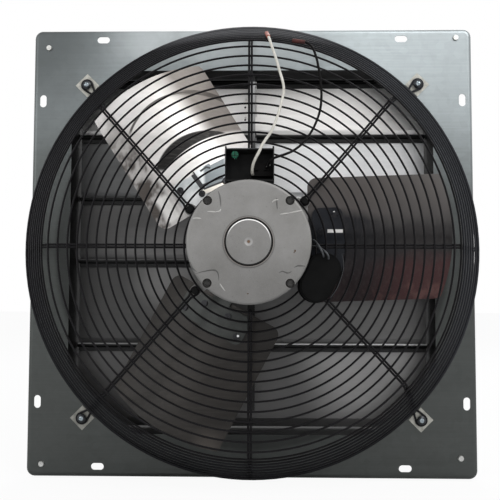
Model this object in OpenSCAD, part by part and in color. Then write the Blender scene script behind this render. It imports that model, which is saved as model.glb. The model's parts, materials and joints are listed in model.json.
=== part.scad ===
// Shutter exhaust fan, wall mounted: a galvanised plate carries a gravity shutter behind it
// and a wire guard in front of it, and the guard carries the motor with its three-blade fan.
// +Y is the outdoor side that the air leaves by, +Z is up, and the origin lies on the fan axis
// at the wall side of the plate's sheet.

/* [Mounting plate] */
// Width of the plate
plate_w = 600; // [585:1:640]
// Height of the plate
plate_h = 606; // [590:1:640]
// Thickness of the plate's sheet
plate_t = 1.2; // [0.8:0.1:2]
// Radius of the plate's corners
plate_corner_r = 11; // [9:0.5:20]
// Radius of the rolled edge
edge_r = 6; // [3:0.5:7]
// Depth of the rolled edge behind the plate's front
edge_depth = 10; // [8:0.5:14]
// Length of a mounting slot
slot_len = 17; // [12:0.5:24]
// Width of a mounting slot
slot_w = 9; // [6:0.5:10]
// Distance from the plate's edge to the middle of a slot
slot_inset = 14; // [12:0.5:16]
// Distance along an edge from the plate's centre line to a slot
slot_reach = 204; // [180:1:230]
// Width of the plate that shows inside the guard's base ring at the corners of the air opening
opening_inset = 11; // [4:1:16]
// Width of the plate that shows inside the shutter frame
opening_lip = 1; // [0.5:0.1:3]

/* [Shutter frame] */
// Width of the plate beside the shutter frame's clear inside
side_border = 53; // [50:1:60]
// Height of the plate above and below the shutter frame's clear inside
top_border = 56; // [53:1:62]
// Depth of the shutter frame behind the plate
shutter_depth = 75; // [66:1:110]
// Thickness of the frame's sheet
frame_t = 1.2; // [0.8:0.1:1.6]
// Width of the flange that lies on the plate
flange_w = 24; // [18:1:26]
// Width of the stiffening lip at the outdoor end
rear_lip = 8; // [4:1:12]
// Radius of a corner screw's head
corner_head_r = 4; // [3:0.1:5]
// Radius of a corner screw's shank
corner_shank_r = 1.9; // [1.5:0.1:2.4]

/* [Shutter slats] */
// Distance from the shutter frame to the top of the first slat
slat_top_gap = 1; // [0.5:0.1:3]
// Height of the first slat
top_slat_h = 79; // [70:1:84]
// Height of the second and the third slat
narrow_slat_h = 89; // [80:1:92]
// Height of the fourth slat
wide_slat_h = 118; // [108:1:120]
// Thickness of a slat's sheet
slat_t = 0.8; // [0.6:0.1:1]
// Radius of the tube that the slat's top edge is rolled into
curl_r = 3.2; // [3:0.1:4]
// Distance from the plate to the slats' pivots
pivot_y = 44; // [42:1:52]
// Gap between a slat's end and the frame
slat_end_gap = 2.5; // [2:0.1:4]
// Length of slat that hangs below the pivot of the next one
slat_overlap = 5; // [4:0.5:8]
// Gap between the last slat and the sill
sill_gap = 2; // [1:0.5:6]
// Radius of a pivot rod
rod_r = 2.2; // [1.6:0.1:2.3]
// Thickness of a pivot bush's collar
bush_collar = 1.5; // [1:0.1:1.8]
// Radial clearance between a pivot rod and its bush
rod_clearance = 0.05; // [0.02:0.01:0.1]

/* [Tie bar] */
// Length of a slat's arm, from its pivot to the tie bar's pin
arm_len = 28; // [26:1:31]
// Height of the tie bar's pin below the slat's pivot
arm_drop = 2; // [2:0.5:3]
// Width of the tie bar
tie_w = 10; // [8:1:14]
// Depth of the tie bar's side flange
tie_depth = 9; // [8:0.5:10]
// Thickness of the tie bar and of the slat brackets
tie_t = 1.2; // [1:0.1:1.5]
// Radius of a tie pin
pin_r = 1.5; // [1.2:0.1:1.8]
// Gap between the tie bar and the sill when the slats are fully open
tie_end_gap = 5.8; // [3:0.1:20]
// Radial clearance of the tie bar's holes that carry no joint
open_pivot_gap = 0.3; // [0.2:0.05:0.5]

/* [Guard] */
// Diameter of the ring wires
ring_wire = 2.5; // [2:0.1:3]
// Diameter of the rib wires
rib_wire = 2.8; // [2.2:0.1:3.2]
// Diameter of the base ring's wire
base_wire = 4; // [3:0.1:5]
// Distance from the plate to the middle of the face rings
face_y = 85; // [80:1:95]
// Radius of the outermost face ring
face_r = 249; // [245:1:251]
// Greatest distance from one face ring to the next
face_pitch = 12; // [10:0.5:14]
// Distance from the innermost face ring out to the motor's mounting bolts
inner_ring_gap = 6; // [6:0.1:7]
// Distance from the outermost face ring out to the guard's shoulder
shoulder_out = 10; // [8:0.5:14]
// Distance from the face rings back to the shoulder ring
shoulder_drop = 6; // [4:0.5:8]
// Distance that the guard's base reaches past the plate's side edges
guard_overhang = 0; // [-2:0.5:4]
// Distance from the plate to the base ring
base_y = 12; // [10:0.5:16]
// Number of rings in the guard's side, without the base ring
side_rings = 7; // [5:1:8]
// Number of ribs
ribs = 8; // [8:8:8]
// Distance between the two wires of a rib, middle to middle
rib_gap = 3.3; // [3.3:0.1:4]
// Depth that welded wires sink into each other
weld = 0.2; // [0.1:0.05:0.3]
// Distance from the guard's base out to a guard screw, along the diagonal
screw_out = 18.2; // [16:0.1:20]
// Radius of a rib's screw loop, at the middle of its wire
loop_r = 7; // [6.5:0.1:8]
// Side of the square pad below a screw loop
pad_side = 23; // [18:1:26]
// Radius of a rib's inner eye, at the middle of its wire
eye_r = 4.6; // [4.5:0.1:4.8]
// Thickness of the pad
pad_t = 1.5; // [1:0.1:2]
// Radius of a guard screw's head
guard_head_r = 6; // [5.9:0.1:6.4]
// Radius of a guard screw's shank
guard_shank_r = 2.5; // [2:0.1:3]

/* [Motor] */
// Radius of the motor's end bells
bell_r = 70; // [68:0.5:71]
// Distance from the plate to the motor's front face
motor_face = 162; // [155:1:175]
// Step from the end bells down to the motor's shell
shell_step = 1; // [0.5:0.5:3]
// Wall of the shell
shell_t = 2; // [1.5:0.1:2.5]
// Wall of an end bell
bell_t = 5; // [4:0.5:6]
// Length of an end bell's rim
bell_len = 22; // [18:1:26]
// Distance from the end bells' rim in to a through bolt
bolt_inset = 5.2; // [5:0.1:5.5]
// Radius of a through bolt
bolt_r = 2; // [1.6:0.1:2.1]
// Radius of the recess around a through bolt's head
recess_r = 4.5; // [4.4:0.1:5]
// Radius of the shaft
shaft_r = 6.35; // [6:0.05:7]
// Outer radius of a bearing
bearing_r = 16; // [14:0.5:17]
// Width of a bearing
bearing_w = 10; // [8:0.5:11]
// Radius of the rotor's core
core_r = 35; // [30:0.5:38]
// Air gap around the rotor's core
air_gap = 0.5; // [0.3:0.05:0.8]
// Gap between the windings and an end bell's inner face
winding_gap = 8; // [3:0.5:12]
// Radius of the bearing cap
cap_r = 26; // [22:0.5:27]
// Distance from the face rings back to the motor's drive face
drive_back = 9; // [7:0.5:11]
// Distance from the end bells' rim out to a mounting bolt
mount_out = 17; // [16.5:0.1:17.5]
// Angle of a mounting bolt above or below the middle of the mounting pattern
mount_spread = 35.5; // [33:0.5:40]
// Angle that the mounting pattern is turned by
mount_turn = 4; // [0:0.5:5]
// Radius of a mounting bolt
mount_bolt_r = 2.5; // [2:0.1:2.8]
// Thickness of the drive bell's ears
ear_t = 3; // [2.5:0.1:4]
// Width of an ear
ear_w = 14; // [12:0.5:18]
// Radial clearance of the through bolts in their holes
bolt_gap = 0.2; // [0.1:0.05:0.4]

/* [Fan] */
// Gap between the blade tips and the guard's shoulder
tip_gap = 3; // [2:0.5:16]
// Distance from the fan axis to a blade's root
root_u = 74; // [72:1:78]
// Half the blade's width on its leading side
lead_v = 84; // [70:1:88]
// Half the blade's width on its trailing side
trail_v = 73; // [60:1:78]
// Distance from the motor's drive face back to the blades' leading edge
lead_back = 10; // [8:0.5:16]
// Distance from the plate to the trailing edge
trail_y = 18; // [16:1:24]
// Height of the blade's camber
camber = 12; // [8:0.5:16]
// Thickness of a blade
blade_t = 1.5; // [1:0.1:2]
// Angle of the first blade
first_blade = 2; // [0:1:119]
// Thickness of the spider
spider_t = 3; // [2:0.1:3.5]
// Radius of the spider's disc
disc_r = 46; // [40:1:52]
// Radius of the hub
hub_r = 17; // [15:0.5:20]
// Length of the hub
hub_len = 36; // [30:1:38]
// Radius of a blade rivet's shank
rivet_r = 2.4; // [2:0.1:3]
// Radial clearance of the hub on the shaft
hub_clearance = 0.05; // [0.02:0.01:0.1]

/* [Electrical] */
// Width of the terminal box
box_w = 56; // [50:1:60]
// Distance that the terminal box sits to the right of the motor's axis
box_shift = 0.5; // [0:0.5:3]
// Height of the terminal box
box_h = 37; // [30:1:40]
// Depth of the terminal box
box_d = 30; // [26:1:40]
// Wall of the terminal box
box_t = 1.2; // [1:0.1:1.5]
// Distance from the motor's front face back to the open front of the terminal box
box_back_step = 12; // [11:1:14]
// Thickness of the capacitor
capacitor_w = 38; // [34:1:46]
// Width of the capacitor across its rounded ends
capacitor_h = 58; // [50:1:60]
// Length of the capacitor
capacitor_len = 56; // [50:1:58]
// Angle of the capacitor below the horizontal
capacitor_at = 26; // [22:1:28]
// Width of the capacitor's strap
strap_w = 15; // [10:1:20]
// Thickness of the capacitor's strap
strap_t = 1; // [0.8:0.1:1.2]
// Diameter of the white lead
white_d = 3.4; // [3.2:0.1:3.6]
// Diameter of the black lead
black_d = 3; // [2.8:0.1:3.2]
// Diameter of a lead's connector
connector_d = 5; // [4.4:0.1:5.2]

/* [Hidden] */
$fn = 64;

// A small overlap that joins solids of one piece, and lets a cut pass a face
eps = 0.01;
cut = 1;
fit_gap = 0.05;
seat_gap = 0.2;

// The shutter frame lies inside the plate, and the guard's base spans the plate's width
shutter_w = plate_w - 2 * side_border;
shutter_h = plate_h - 2 * top_border;
base_r = plate_w / 2 + guard_overhang;
opening_reach = base_r - opening_inset;

// Insets of the corner screws from the plate's corners: [sign across, sign up, across, up]
corner_screws_at = [[-1, 1, 21, 25], [1, 1, 22, 13], [-1, -1, 21, 17], [1, -1, 23, 28]];
corner_screw_len = 8;
ear_margin = 6;

// Slats: each top lies at the height of the one above, less that one's height
slat_heights = [top_slat_h, narrow_slat_h, narrow_slat_h, wide_slat_h, 0];
function slat_top(i) =
  i == 0 ? shutter_h / 2 - slat_top_gap : slat_top(i - 1) - slat_heights[i - 1];
function slat_pivot_z(i) = slat_top(i) - curl_r;
slat_inner_y = curl_r - slat_t;
slat_w = shutter_w - 2 * slat_end_gap;
joggle = 1.8;
drip = 3.5;
rod_end = 5;
bush_barrel_r = rod_r + rod_clearance + 1.4;
bush_out = 3;

slat_travel = 70;
function slat_drop(i) = i < 4 ? slat_heights[i] + slat_overlap
  : slat_pivot_z(4) + shutter_h / 2 - sill_gap;

// Tie bar: its side flange lies beside the brackets' ears
tie_right = 5;
tie_gap = 0.3;
tie_pin_y = pivot_y - arm_len;
tie_front = 6;
foot_left = 21;
foot_top = 18;
foot_h = 39;
foot_margin = 4;
foot_rivet_inset = 7;
function foot_len(i) = min(foot_h, slat_drop(i) - foot_top - foot_margin);
tie_sinks = arm_len * sin(slat_travel) - arm_drop * (1 - cos(slat_travel));
tie_end = -shutter_h / 2 + tie_end_gap + tie_sinks;
bracket_rivet_r = 2;
pin_head = 1.2;

// Guard: the side's slope runs from the shoulder ring to the base ring
shoulder_r = face_r + shoulder_out;
shoulder_y = face_y - shoulder_drop;
guard_screw_at = (base_r + screw_out) / sqrt(2);
mount_at = bell_r + mount_out;
inner_ring_r = mount_at - inner_ring_gap;
ring_steps = ceil((face_r - inner_ring_r) / face_pitch - 0.01);
ring_step = (face_r - inner_ring_r) / ring_steps;
slope = [base_r - shoulder_r, shoulder_y - base_y];
slope_len = norm(slope);
slope_dir = slope / slope_len;
slope_in = [-slope_dir[1], slope_dir[0]];
slope_angle = atan2(slope_dir[1], slope_dir[0]);
ring_to_rib = (ring_wire + rib_wire) / 2 - weld;
base_to_rib = (base_wire + rib_wire) / 2 - weld;
rib_y = -face_y + ring_to_rib;
rib_slope_at = [shoulder_r, -shoulder_y] + slope_in * ring_to_rib;
function on_rib_slope(y) = rib_slope_at + slope_dir * ((y - rib_slope_at[1]) / slope_dir[1]);
shoulder_corner = on_rib_slope(rib_y);
shoulder_bend = 10;
rib_inner_r = inner_ring_r - 1;
loop_y = -plate_t - pad_t - rib_wire / 2 - fit_gap;
loop_at = guard_screw_at * sqrt(2);
loop_start = on_rib_slope(loop_y);
rib_end_y = -base_y + 4;
bend_grip = 0.3;
bend_swell = 0.03;
joint_swell = 0.2;
joint_short = 0.35;
eye_neck = 10;
// A diagonal rib leans from its screw towards the motor's bolt, by this angle at the shoulder
rib_lean = [0.9, 2, 0.4, 3];
mount_angles = [mount_spread, 180 - mount_spread, 180 + mount_spread, 360 - mount_spread]
  + mount_turn * [1, 1, 1, 1];
function polar(r, a) = r * [cos(a), sin(a)];
function turn_half(neck, r) =
  180 - atan2(rib_gap / 2, neck) - acos(r / norm([neck, rib_gap / 2]));
guard_head_h = 3.5;
guard_screw_tail = 6;

// Motor: the ears of its drive bell are bolted to the eyes of the diagonal ribs
ear_front = rib_y + rib_wire / 2 + fit_gap;
ear_back = ear_front + ear_t;
mount_head_y = rib_y - rib_wire / 2 - fit_gap;
mount_head_r = 4.2;
mount_head_h = 3;
mount_nut_r = 4.6;
mount_nut_h = 4;
drive_face = -face_y + drive_back;
shell_r = bell_r - shell_step;
bolt_circle = bell_r - bolt_inset;
nose_r = 40;
nose_end = drive_face + 9;
bell_rim_t = 6;
spigot = 8;
spigot_r = shell_r - shell_t - fit_gap;
rear_inner = -motor_face + bell_t;
core_mid = (-motor_face + drive_face) / 2;
winding_h = 12;
core_len = motor_face + drive_face - 2 * (bell_t + winding_gap + winding_h);
bearing_seat_t = 4;
rear_bearing_y = -motor_face + 4;
drive_bearing_y = nose_end - 3 - bearing_w;
bolt_head_h = 2.8;
bolt_head_r = 3.6;
nut_r = 4;
nut_h = 3.4;
bolt_tip = drive_face + nut_h + 1.2;
recess_depth = 4;
cap_h = 3;

// Fan: a blade is cut from a cylinder's shell whose axis runs along the blade
tip_r = shoulder_r - tip_gap;
lead_y = -drive_face - lead_back;
chord = [-(trail_v + lead_v), lead_y - trail_y];
chord_len = norm(chord);
blade_radius = (chord_len * chord_len / 4 + camber * camber) / (2 * camber);
chord_mid = [(lead_v - trail_v) / 2, -(lead_y + trail_y) / 2];
chord_normal = [chord[1], -chord[0]] / chord_len;
blade_axis = chord_mid + chord_normal * (blade_radius - camber);
function blade_front_y(v) =
  blade_axis[1] - sqrt(blade_radius * blade_radius - (v - blade_axis[0]) * (v - blade_axis[0]));
function blade_tilt(v) = asin((v - blade_axis[0]) / blade_radius);
root_corner = 12;
tip_corner = 20;
disc_t = 4.5;
disc_back = blade_front_y(0) + 0.5;
arm_half_w = 12;
arm_root = 26;
arm_reach = 120;
pad_inner = 79;
pad_outer = 117;
pad_half_v = 46;
pad_corner = 9;
far_rivet_u = 107;
far_rivet_v = 38;
near_rivet_u = 90;
near_rivet_v = 17;
blade_rivets_at = [[far_rivet_u, far_rivet_v], [far_rivet_u, 1 - far_rivet_v],
                   [near_rivet_u, near_rivet_v], [near_rivet_u, -near_rivet_v]];
rivet_head_r = 4.2;
rivet_head_h = 1.6;
hub_front = nose_end + 3;
set_screw_r = 3;
set_screw_y = hub_front + hub_len - 8;
shaft_end = hub_front + hub_len + 2;

// Terminal box on top of the shell
box_front = motor_face - box_back_step;
box_bottom = bell_r + seat_gap;
box_back = -box_front + box_d;
box_left = box_shift - box_w / 2;
box_right = box_shift + box_w / 2;
lip_h = 2.5;
lip_w = 1.8;
lip_d = 8;
box_screw_r = 2;
box_screws_y = [-box_front + 8, -box_front + box_d - 6];
ground_x = -16.5;
ground_z = box_bottom + box_h - 5.6;
ground_head_r = 4.2;
ground_head_y = -box_front + 9;
block_size = [24, 12, 14];
block_at = [14, box_back - box_t, box_bottom + 15];

// Capacitor beside the shell
capacitor_r = bell_r + 0.8 + capacitor_w / 2;
capacitor_back = -box_front + capacitor_len;
strap_y = -box_front + capacitor_len / 2;

// Routes of the free leads, from the terminal box over the guard to its rim
white_route = [
  [4, -133.5, 80], [3.5, -137.5, 80.5], [3.5, -142, 85], [5, -146, 91], [8, -150, 97],
  [11.5, -152.5, 103],
  [14.5, -152.5, 110], [17.5, -147, 116], [20, -139, 121.5], [22.5, -129, 127], [25, -119, 133],
  [27.5, -110, 140], [30, -102, 147.5], [32.5, -96, 155.5], [35, -92, 164], [37.5, -89.5, 173],
  [39.5, -88.5, 182], [41, -88.3, 190], [41, -88.3, 198], [39, -88.3, 207], [36, -88.3, 217],
  [33, -88.3, 228], [29.5, -88.3, 239], [26, -88, 249], [24, -86.5, 256], [22.5, -83.5, 261.5]
];
black_route = [
  [20, -134, 88], [21.5, -140, 89], [22.5, -146.5, 90.5], [24, -151.5, 92.5], [28, -154.3, 95],
  [33, -151.5, 97.5], [38, -144, 100.5], [44, -134, 104.5], [50.5, -123, 109.5], [57, -111.5, 116],
  [63, -103, 122.5], [69, -96, 130.5], [75, -91, 140], [80, -88.6, 150], [84, -88, 160.5],
  [86.5, -88, 171], [87.5, -88, 182], [87.5, -88, 193.5], [86.5, -88, 205], [85, -88, 216],
  [83, -88, 227], [80.5, -87.8, 237], [77.5, -86.5, 245], [73.5, -84.5, 251], [68, -83.5, 254.5]
];
capacitor_routes = [
  [[70.6, -127, 3], [71.5, -133, 4], [74, -141, 3], [76.5, -147.5, 0], [79, -152.5, -4.5],
   [81.5, -155, -9.5], [83.3, -154.5, -14], [84, -150.6, -16.5]],
  [[70.6, -127, -3.5], [73.5, -134, -3.5], [77, -141, -4], [80.5, -147.5, -6],
   [84, -152.5, -8.8], [87, -155, -12], [89.2, -154.3, -15.8], [89.5, -150.6, -18.5]]
];
capacitor_lead_d = 2.2;
lead_sides = 8;
white_connector_len = 24;
black_connector_len = 15;

// A rectangle with round corners, around the origin
module round_rect(w, h, r) {
  square([w - 2 * r, h], center = true);
  square([w, h - 2 * r], center = true);
  for (x = [-1, 1], y = [-1, 1])
    translate([x * (w / 2 - r), y * (h / 2 - r)]) circle(r);
}

// A flat shape drawn across and up, extruded from one depth to another
module between(y_front, y_back) {
  translate([0, y_back, 0]) rotate([90, 0, 0]) linear_extrude(y_back - y_front) children();
}

// A profile of radius and depth, turned about the fan axis
module turned() {
  rotate([-90, 0, 0]) rotate_extrude() children();
}

// A solid disc or ring between two depths
module disc(r, y_front, y_back) {
  translate([0, y_back, 0]) rotate([90, 0, 0]) cylinder(h = y_back - y_front, r = r);
}

module ring(r_out, r_in, y_front, y_back) {
  difference() {
    disc(r_out, y_front, y_back);
    disc(r_in, y_front - cut, y_back + cut);
  }
}

// A pin along the width, between two places
module cross_pin(r, x_left, x_right, y, z) {
  translate([x_left, y, z]) rotate([0, 90, 0]) cylinder(h = x_right - x_left, r = r);
}

// A box given by its lowest and highest corners
module corner_box(low, high) {
  translate(low) cube(high - low);
}

// Copies of a shape at four places around the motor's axis
module at_bolts() {
  for (a = [45 : 90 : 315]) rotate([0, -a, 0]) translate([bolt_circle, 0, 0]) children();
}

function slot_places() = concat(
  [for (x = [-1, 1], z = [-1, 1]) [x * slot_reach, z * (plate_h / 2 - slot_inset), 0]],
  [for (x = [-1, 1], z = [-1, 1]) [x * (plate_w / 2 - slot_inset), z * slot_reach, 90]]);
function corner_place(c) = [c[0] * (plate_w / 2 - c[2]), c[1] * (plate_h / 2 - c[3])];

// Section of the rolled edge: outward, then back towards the wall
module edge_profile() {
  intersection() {
    difference() {
      translate([0, edge_r]) circle(edge_r);
      translate([0, edge_r]) circle(edge_r - plate_t);
    }
    square([edge_r, edge_r]);
  }
  translate([edge_r - plate_t, edge_r]) square([plate_t, edge_depth - edge_r]);
}

module rolled_edge() {
  for (side = [0 : 3]) {
    half = side % 2 == 0 ? plate_w / 2 : plate_h / 2;
    run = (side % 2 == 0 ? plate_h : plate_w) - 2 * plate_corner_r;
    rotate([0, -90 * side, 0]) translate([half - edge_r, -plate_t, -run / 2])
      linear_extrude(run) edge_profile();
  }
  for (x = [0, 1], z = [0, 1])
    mirror([x, 0, 0]) mirror([0, 0, z])
      translate([plate_w / 2 - plate_corner_r, -plate_t, -plate_h / 2 + plate_corner_r])
        rotate([-90, 0, 0]) rotate_extrude(angle = 90)
          translate([plate_corner_r - edge_r, 0]) edge_profile();
}

module mounting_plate() {
  color([0.62, 0.64, 0.63]) {
    difference() {
      between(-plate_t, 0)
        round_rect(plate_w - 2 * edge_r, plate_h - 2 * edge_r, plate_corner_r - edge_r);
      between(-plate_t - cut, cut) intersection() {
        square([shutter_w - 2 * opening_lip, shutter_h - 2 * opening_lip], center = true);
        circle(opening_reach);
      }
      between(-plate_t - cut, cut) for (p = slot_places())
        translate([p[0], p[1]]) rotate(p[2]) round_rect(slot_len, slot_w, slot_w / 2 - eps);
      for (c = corner_screws_at) let (p = corner_place(c))
        translate([p[0], 0, p[1]]) disc(corner_shank_r + fit_gap, -plate_t - cut, cut);
      for (x = [-1, 1], z = [-1, 1]) translate([x * guard_screw_at, 0, z * guard_screw_at])
        disc(guard_shank_r + fit_gap, -plate_t - cut, cut);
    }
    rolled_edge();
  }
}

// The frame's upper or lower piece, with the ears that the corner screws hold
module frame_beam(up) {
  inner = shutter_h / 2;
  color([0.66, 0.67, 0.66]) difference() {
    union() {
      scale_z(up) {
        corner_box([-shutter_w / 2 - frame_t, 0, inner],
                   [shutter_w / 2 + frame_t, shutter_depth, inner + frame_t]);
        corner_box([-shutter_w / 2 - flange_w, 0, inner],
                   [shutter_w / 2 + flange_w, frame_t, inner + flange_w]);
        corner_box([-shutter_w / 2 - frame_t, shutter_depth - frame_t, inner],
                   [shutter_w / 2 + frame_t, shutter_depth, inner + rear_lip]);
      }
      for (c = corner_screws_at) if (c[1] == up) let (p = corner_place(c)) {
        low = [min(c[0] * shutter_w / 2, p[0] + c[0] * ear_margin), 0,
               min(up * inner, p[1] + up * ear_margin)];
        high = [max(c[0] * shutter_w / 2, p[0] + c[0] * ear_margin), frame_t,
                max(up * inner, p[1] + up * ear_margin)];
        corner_box(low, high);
      }
    }
    for (c = corner_screws_at) let (p = corner_place(c))
      translate([p[0], 0, p[1]]) disc(corner_shank_r + fit_gap, -cut, frame_t + cut);
    at_guard_screws() disc(guard_shank_r + fit_gap, -cut, frame_t + cut);
  }
}

module scale_z(up) {
  mirror([0, 0, up > 0 ? 0 : 1]) children();
}

// The frame's left or right piece, with the holes for the pivot bushes
module frame_side(side) {
  inner = shutter_w / 2;
  color([0.66, 0.67, 0.66]) mirror([side > 0 ? 0 : 1, 0, 0]) difference() {
    union() {
      corner_box([inner, 0, -shutter_h / 2], [inner + frame_t, shutter_depth, shutter_h / 2]);
      corner_box([inner, 0, -shutter_h / 2], [inner + flange_w, frame_t, shutter_h / 2]);
      corner_box([inner, shutter_depth - frame_t, -shutter_h / 2],
                 [inner + rear_lip, shutter_depth, shutter_h / 2]);
    }
    for (i = [0 : 4])
      cross_pin(bush_barrel_r + fit_gap, inner - cut, inner + frame_t + cut,
                pivot_y, slat_pivot_z(i));
  }
}

module pivot_bushes() {
  inner = shutter_w / 2;
  color([0.85, 0.84, 0.8]) for (side = [0, 1], i = [0 : 4]) mirror([side, 0, 0]) difference() {
    union() {
      cross_pin(bush_barrel_r + 0.3, inner - bush_collar, inner, pivot_y, slat_pivot_z(i));
      cross_pin(bush_barrel_r, inner - eps, inner + frame_t + bush_out, pivot_y, slat_pivot_z(i));
    }
    cross_pin(rod_r + rod_clearance, inner - bush_collar - cut, inner + frame_t + bush_out + cut,
              pivot_y, slat_pivot_z(i));
  }
}

module corner_screws() {
  color([0.7, 0.7, 0.7]) for (c = corner_screws_at) let (p = corner_place(c))
    translate([p[0], 0, p[1]]) {
      disc(corner_shank_r, -plate_t - eps, corner_screw_len);
      turned() intersection() {
        translate([0, -plate_t]) circle(corner_head_r);
        translate([0, -plate_t - 2.2]) square([corner_head_r, 2.2]);
      }
    }
}

// Section of a slat below its pivot: its inner face, from the top down
function slat_face(i) = i < 4
  ? let (next = slat_heights[i])
    [[0, 0], [0, 10 - next], [joggle, 4 - next], [joggle, -next - slat_overlap],
     [joggle + drip, -next - slat_overlap - drip]]
  : let (end = slat_pivot_z(4) + shutter_h / 2 - sill_gap)
    [[0, 0], [0, 12 - end], [drip, -end]];

module slat(i) {
  face = slat_face(i);
  last = len(face) - 1;
  color([0.82, 0.82, 0.82]) translate([-slat_w / 2, pivot_y, slat_pivot_z(i)])
    rotate([90, 0, 90]) linear_extrude(slat_w) {
      difference() {
        circle(curl_r);
        circle(curl_r - slat_t);
      }
      difference() {
        translate([slat_inner_y, 0])
          polygon(concat(face, [for (k = [last : -1 : 0]) face[k] + [slat_t, 0]]));
        circle(curl_r - slat_t);
      }
    }
}

module pivot_rod(i) {
  color([0.6, 0.6, 0.6])
    cross_pin(rod_r, -shutter_w / 2 - rod_end, shutter_w / 2 + rod_end, pivot_y, slat_pivot_z(i));
}

// Bracket riveted to a slat: a foot on its inner face and an ear that reaches the tie bar
module slat_bracket(i) {
  y_face = slat_inner_y - 0.02;
  ear_left = tie_right + tie_gap;
  foot_end = foot_top + foot_len(i);
  color([0.78, 0.78, 0.78]) translate([0, pivot_y, slat_pivot_z(i)]) {
    corner_box([ear_left + tie_t - foot_left, y_face - tie_t, -foot_end],
               [ear_left + tie_t, y_face, -foot_top]);
    translate([ear_left, 0, 0]) rotate([90, 0, 90]) linear_extrude(tie_t) {
      polygon([[y_face, 6 - foot_end], [y_face, -foot_top], [-7, -12],
               [-arm_len + 4, -arm_drop], [-arm_len - 4, -arm_drop], [-9, 16 - foot_end]]);
      translate([-arm_len, -arm_drop]) circle(4);
    }
    cross_pin(pin_r, tie_right - tie_t - 1, ear_left + eps, -arm_len, -arm_drop);
    cross_pin(pin_r + 0.8, tie_right - tie_t - 1 - pin_head, tie_right - tie_t - 0.4,
              -arm_len, -arm_drop);
    for (z = [foot_top + foot_rivet_inset, foot_end - foot_rivet_inset])
      translate([ear_left - foot_left / 2 - 4, y_face - tie_t, -z])
        turned() intersection() {
          circle(bracket_rivet_r);
          translate([0, -bracket_rivet_r]) square([bracket_rivet_r, bracket_rivet_r + eps]);
        }
  }
}

// Tie bar: an angle section with one hole for each slat's pin
module tie_bar() {
  pin_z = [for (i = [0 : 4]) slat_pivot_z(i) - arm_drop];
  y_front = tie_pin_y - tie_front;
  color([0.8, 0.8, 0.8]) difference() {
    union() {
      corner_box([tie_right - tie_w, y_front, tie_end],
                 [tie_right, y_front + tie_t, pin_z[0] + 4]);
      corner_box([tie_right - tie_t, y_front, tie_end],
                 [tie_right, y_front + tie_depth, pin_z[0] + 4]);
    }
    for (i = [0 : 4])
      cross_pin(pin_r + (i == 0 ? rod_clearance : open_pivot_gap), tie_right - tie_t - cut,
                tie_right + cut, tie_pin_y, pin_z[i]);
  }
}

module wire_ring(r, y, d) {
  translate([0, y, 0]) rotate([90, 0, 0]) rotate_extrude() translate([r, 0]) circle(d / 2);
}

module guard_base_ring() {
  at = on_rib_slope(-base_y) - slope_in * base_to_rib;
  color([0.05, 0.05, 0.05]) wire_ring(at[0], at[1], base_wire);
}

module guard_side_rings() {
  color([0.05, 0.05, 0.05]) for (k = [0 : side_rings - 1]) {
    at = [shoulder_r, -shoulder_y] + slope * k / side_rings;
    wire_ring(at[0], at[1], ring_wire);
  }
}

module guard_face_rings() {
  color([0.05, 0.05, 0.05]) for (k = [0 : ring_steps])
    wire_ring(face_r - k * ring_step, -face_y, ring_wire);
}

// A straight wire between two places of radius and depth, beside the rib's middle plane.
// It runs a little way into the bends at its ends.
module rib_run(from, to, aside) {
  run = to - from;
  translate([from[0], from[1], aside]) rotate([0, 0, atan2(run[1], run[0])])
    translate([-bend_grip, 0, 0]) rotate([0, 90, 0])
      cylinder(h = norm(run) + 2 * bend_grip, d = rib_wire);
}

// An arc of wire that lies across the rib, around a place on its middle plane
module rib_turn(at, r, start, turn) {
  translate([at[0], at[1], 0]) rotate([90, 0, 0]) rotate([0, 0, start])
    rotate_extrude(angle = turn) translate([r, 0]) circle(rib_wire / 2 + bend_swell);
}

// A straight wire of an eye or a loop, from its neck to where the turn takes over.
// The ball at its start is turned so that its seam lies clear of both wires.
module neck_wire(from, to, y) {
  run = to - from;
  translate([from[0], y, from[1]]) {
    rotate([0, 0, 90]) sphere(d = rib_wire + joint_swell);
    rotate([0, -atan2(run[1], run[0]), 0]) rotate([0, 90, 0])
      cylinder(h = norm(run) + bend_grip, d = rib_wire);
  }
}

// Local X runs from one place across and up towards another
module along_plan(from, to) {
  translate([from[0], 0, from[1]])
    rotate([0, -atan2(to[1] - from[1], to[0] - from[0]), 0]) children();
}

// The end of a looped rib: two necks and the turn around a screw or a bolt
module rib_loop(neck, y, r, sign) {
  half = turn_half(neck, r);
  for (s = [-1, 1])
    neck_wire([-sign * neck, s * rib_gap / 2], [sign * r * cos(half), s * r * sin(half)], y);
  rib_turn([0, y], r, (sign > 0 ? 0 : 180) - half, 2 * half);
}

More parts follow.
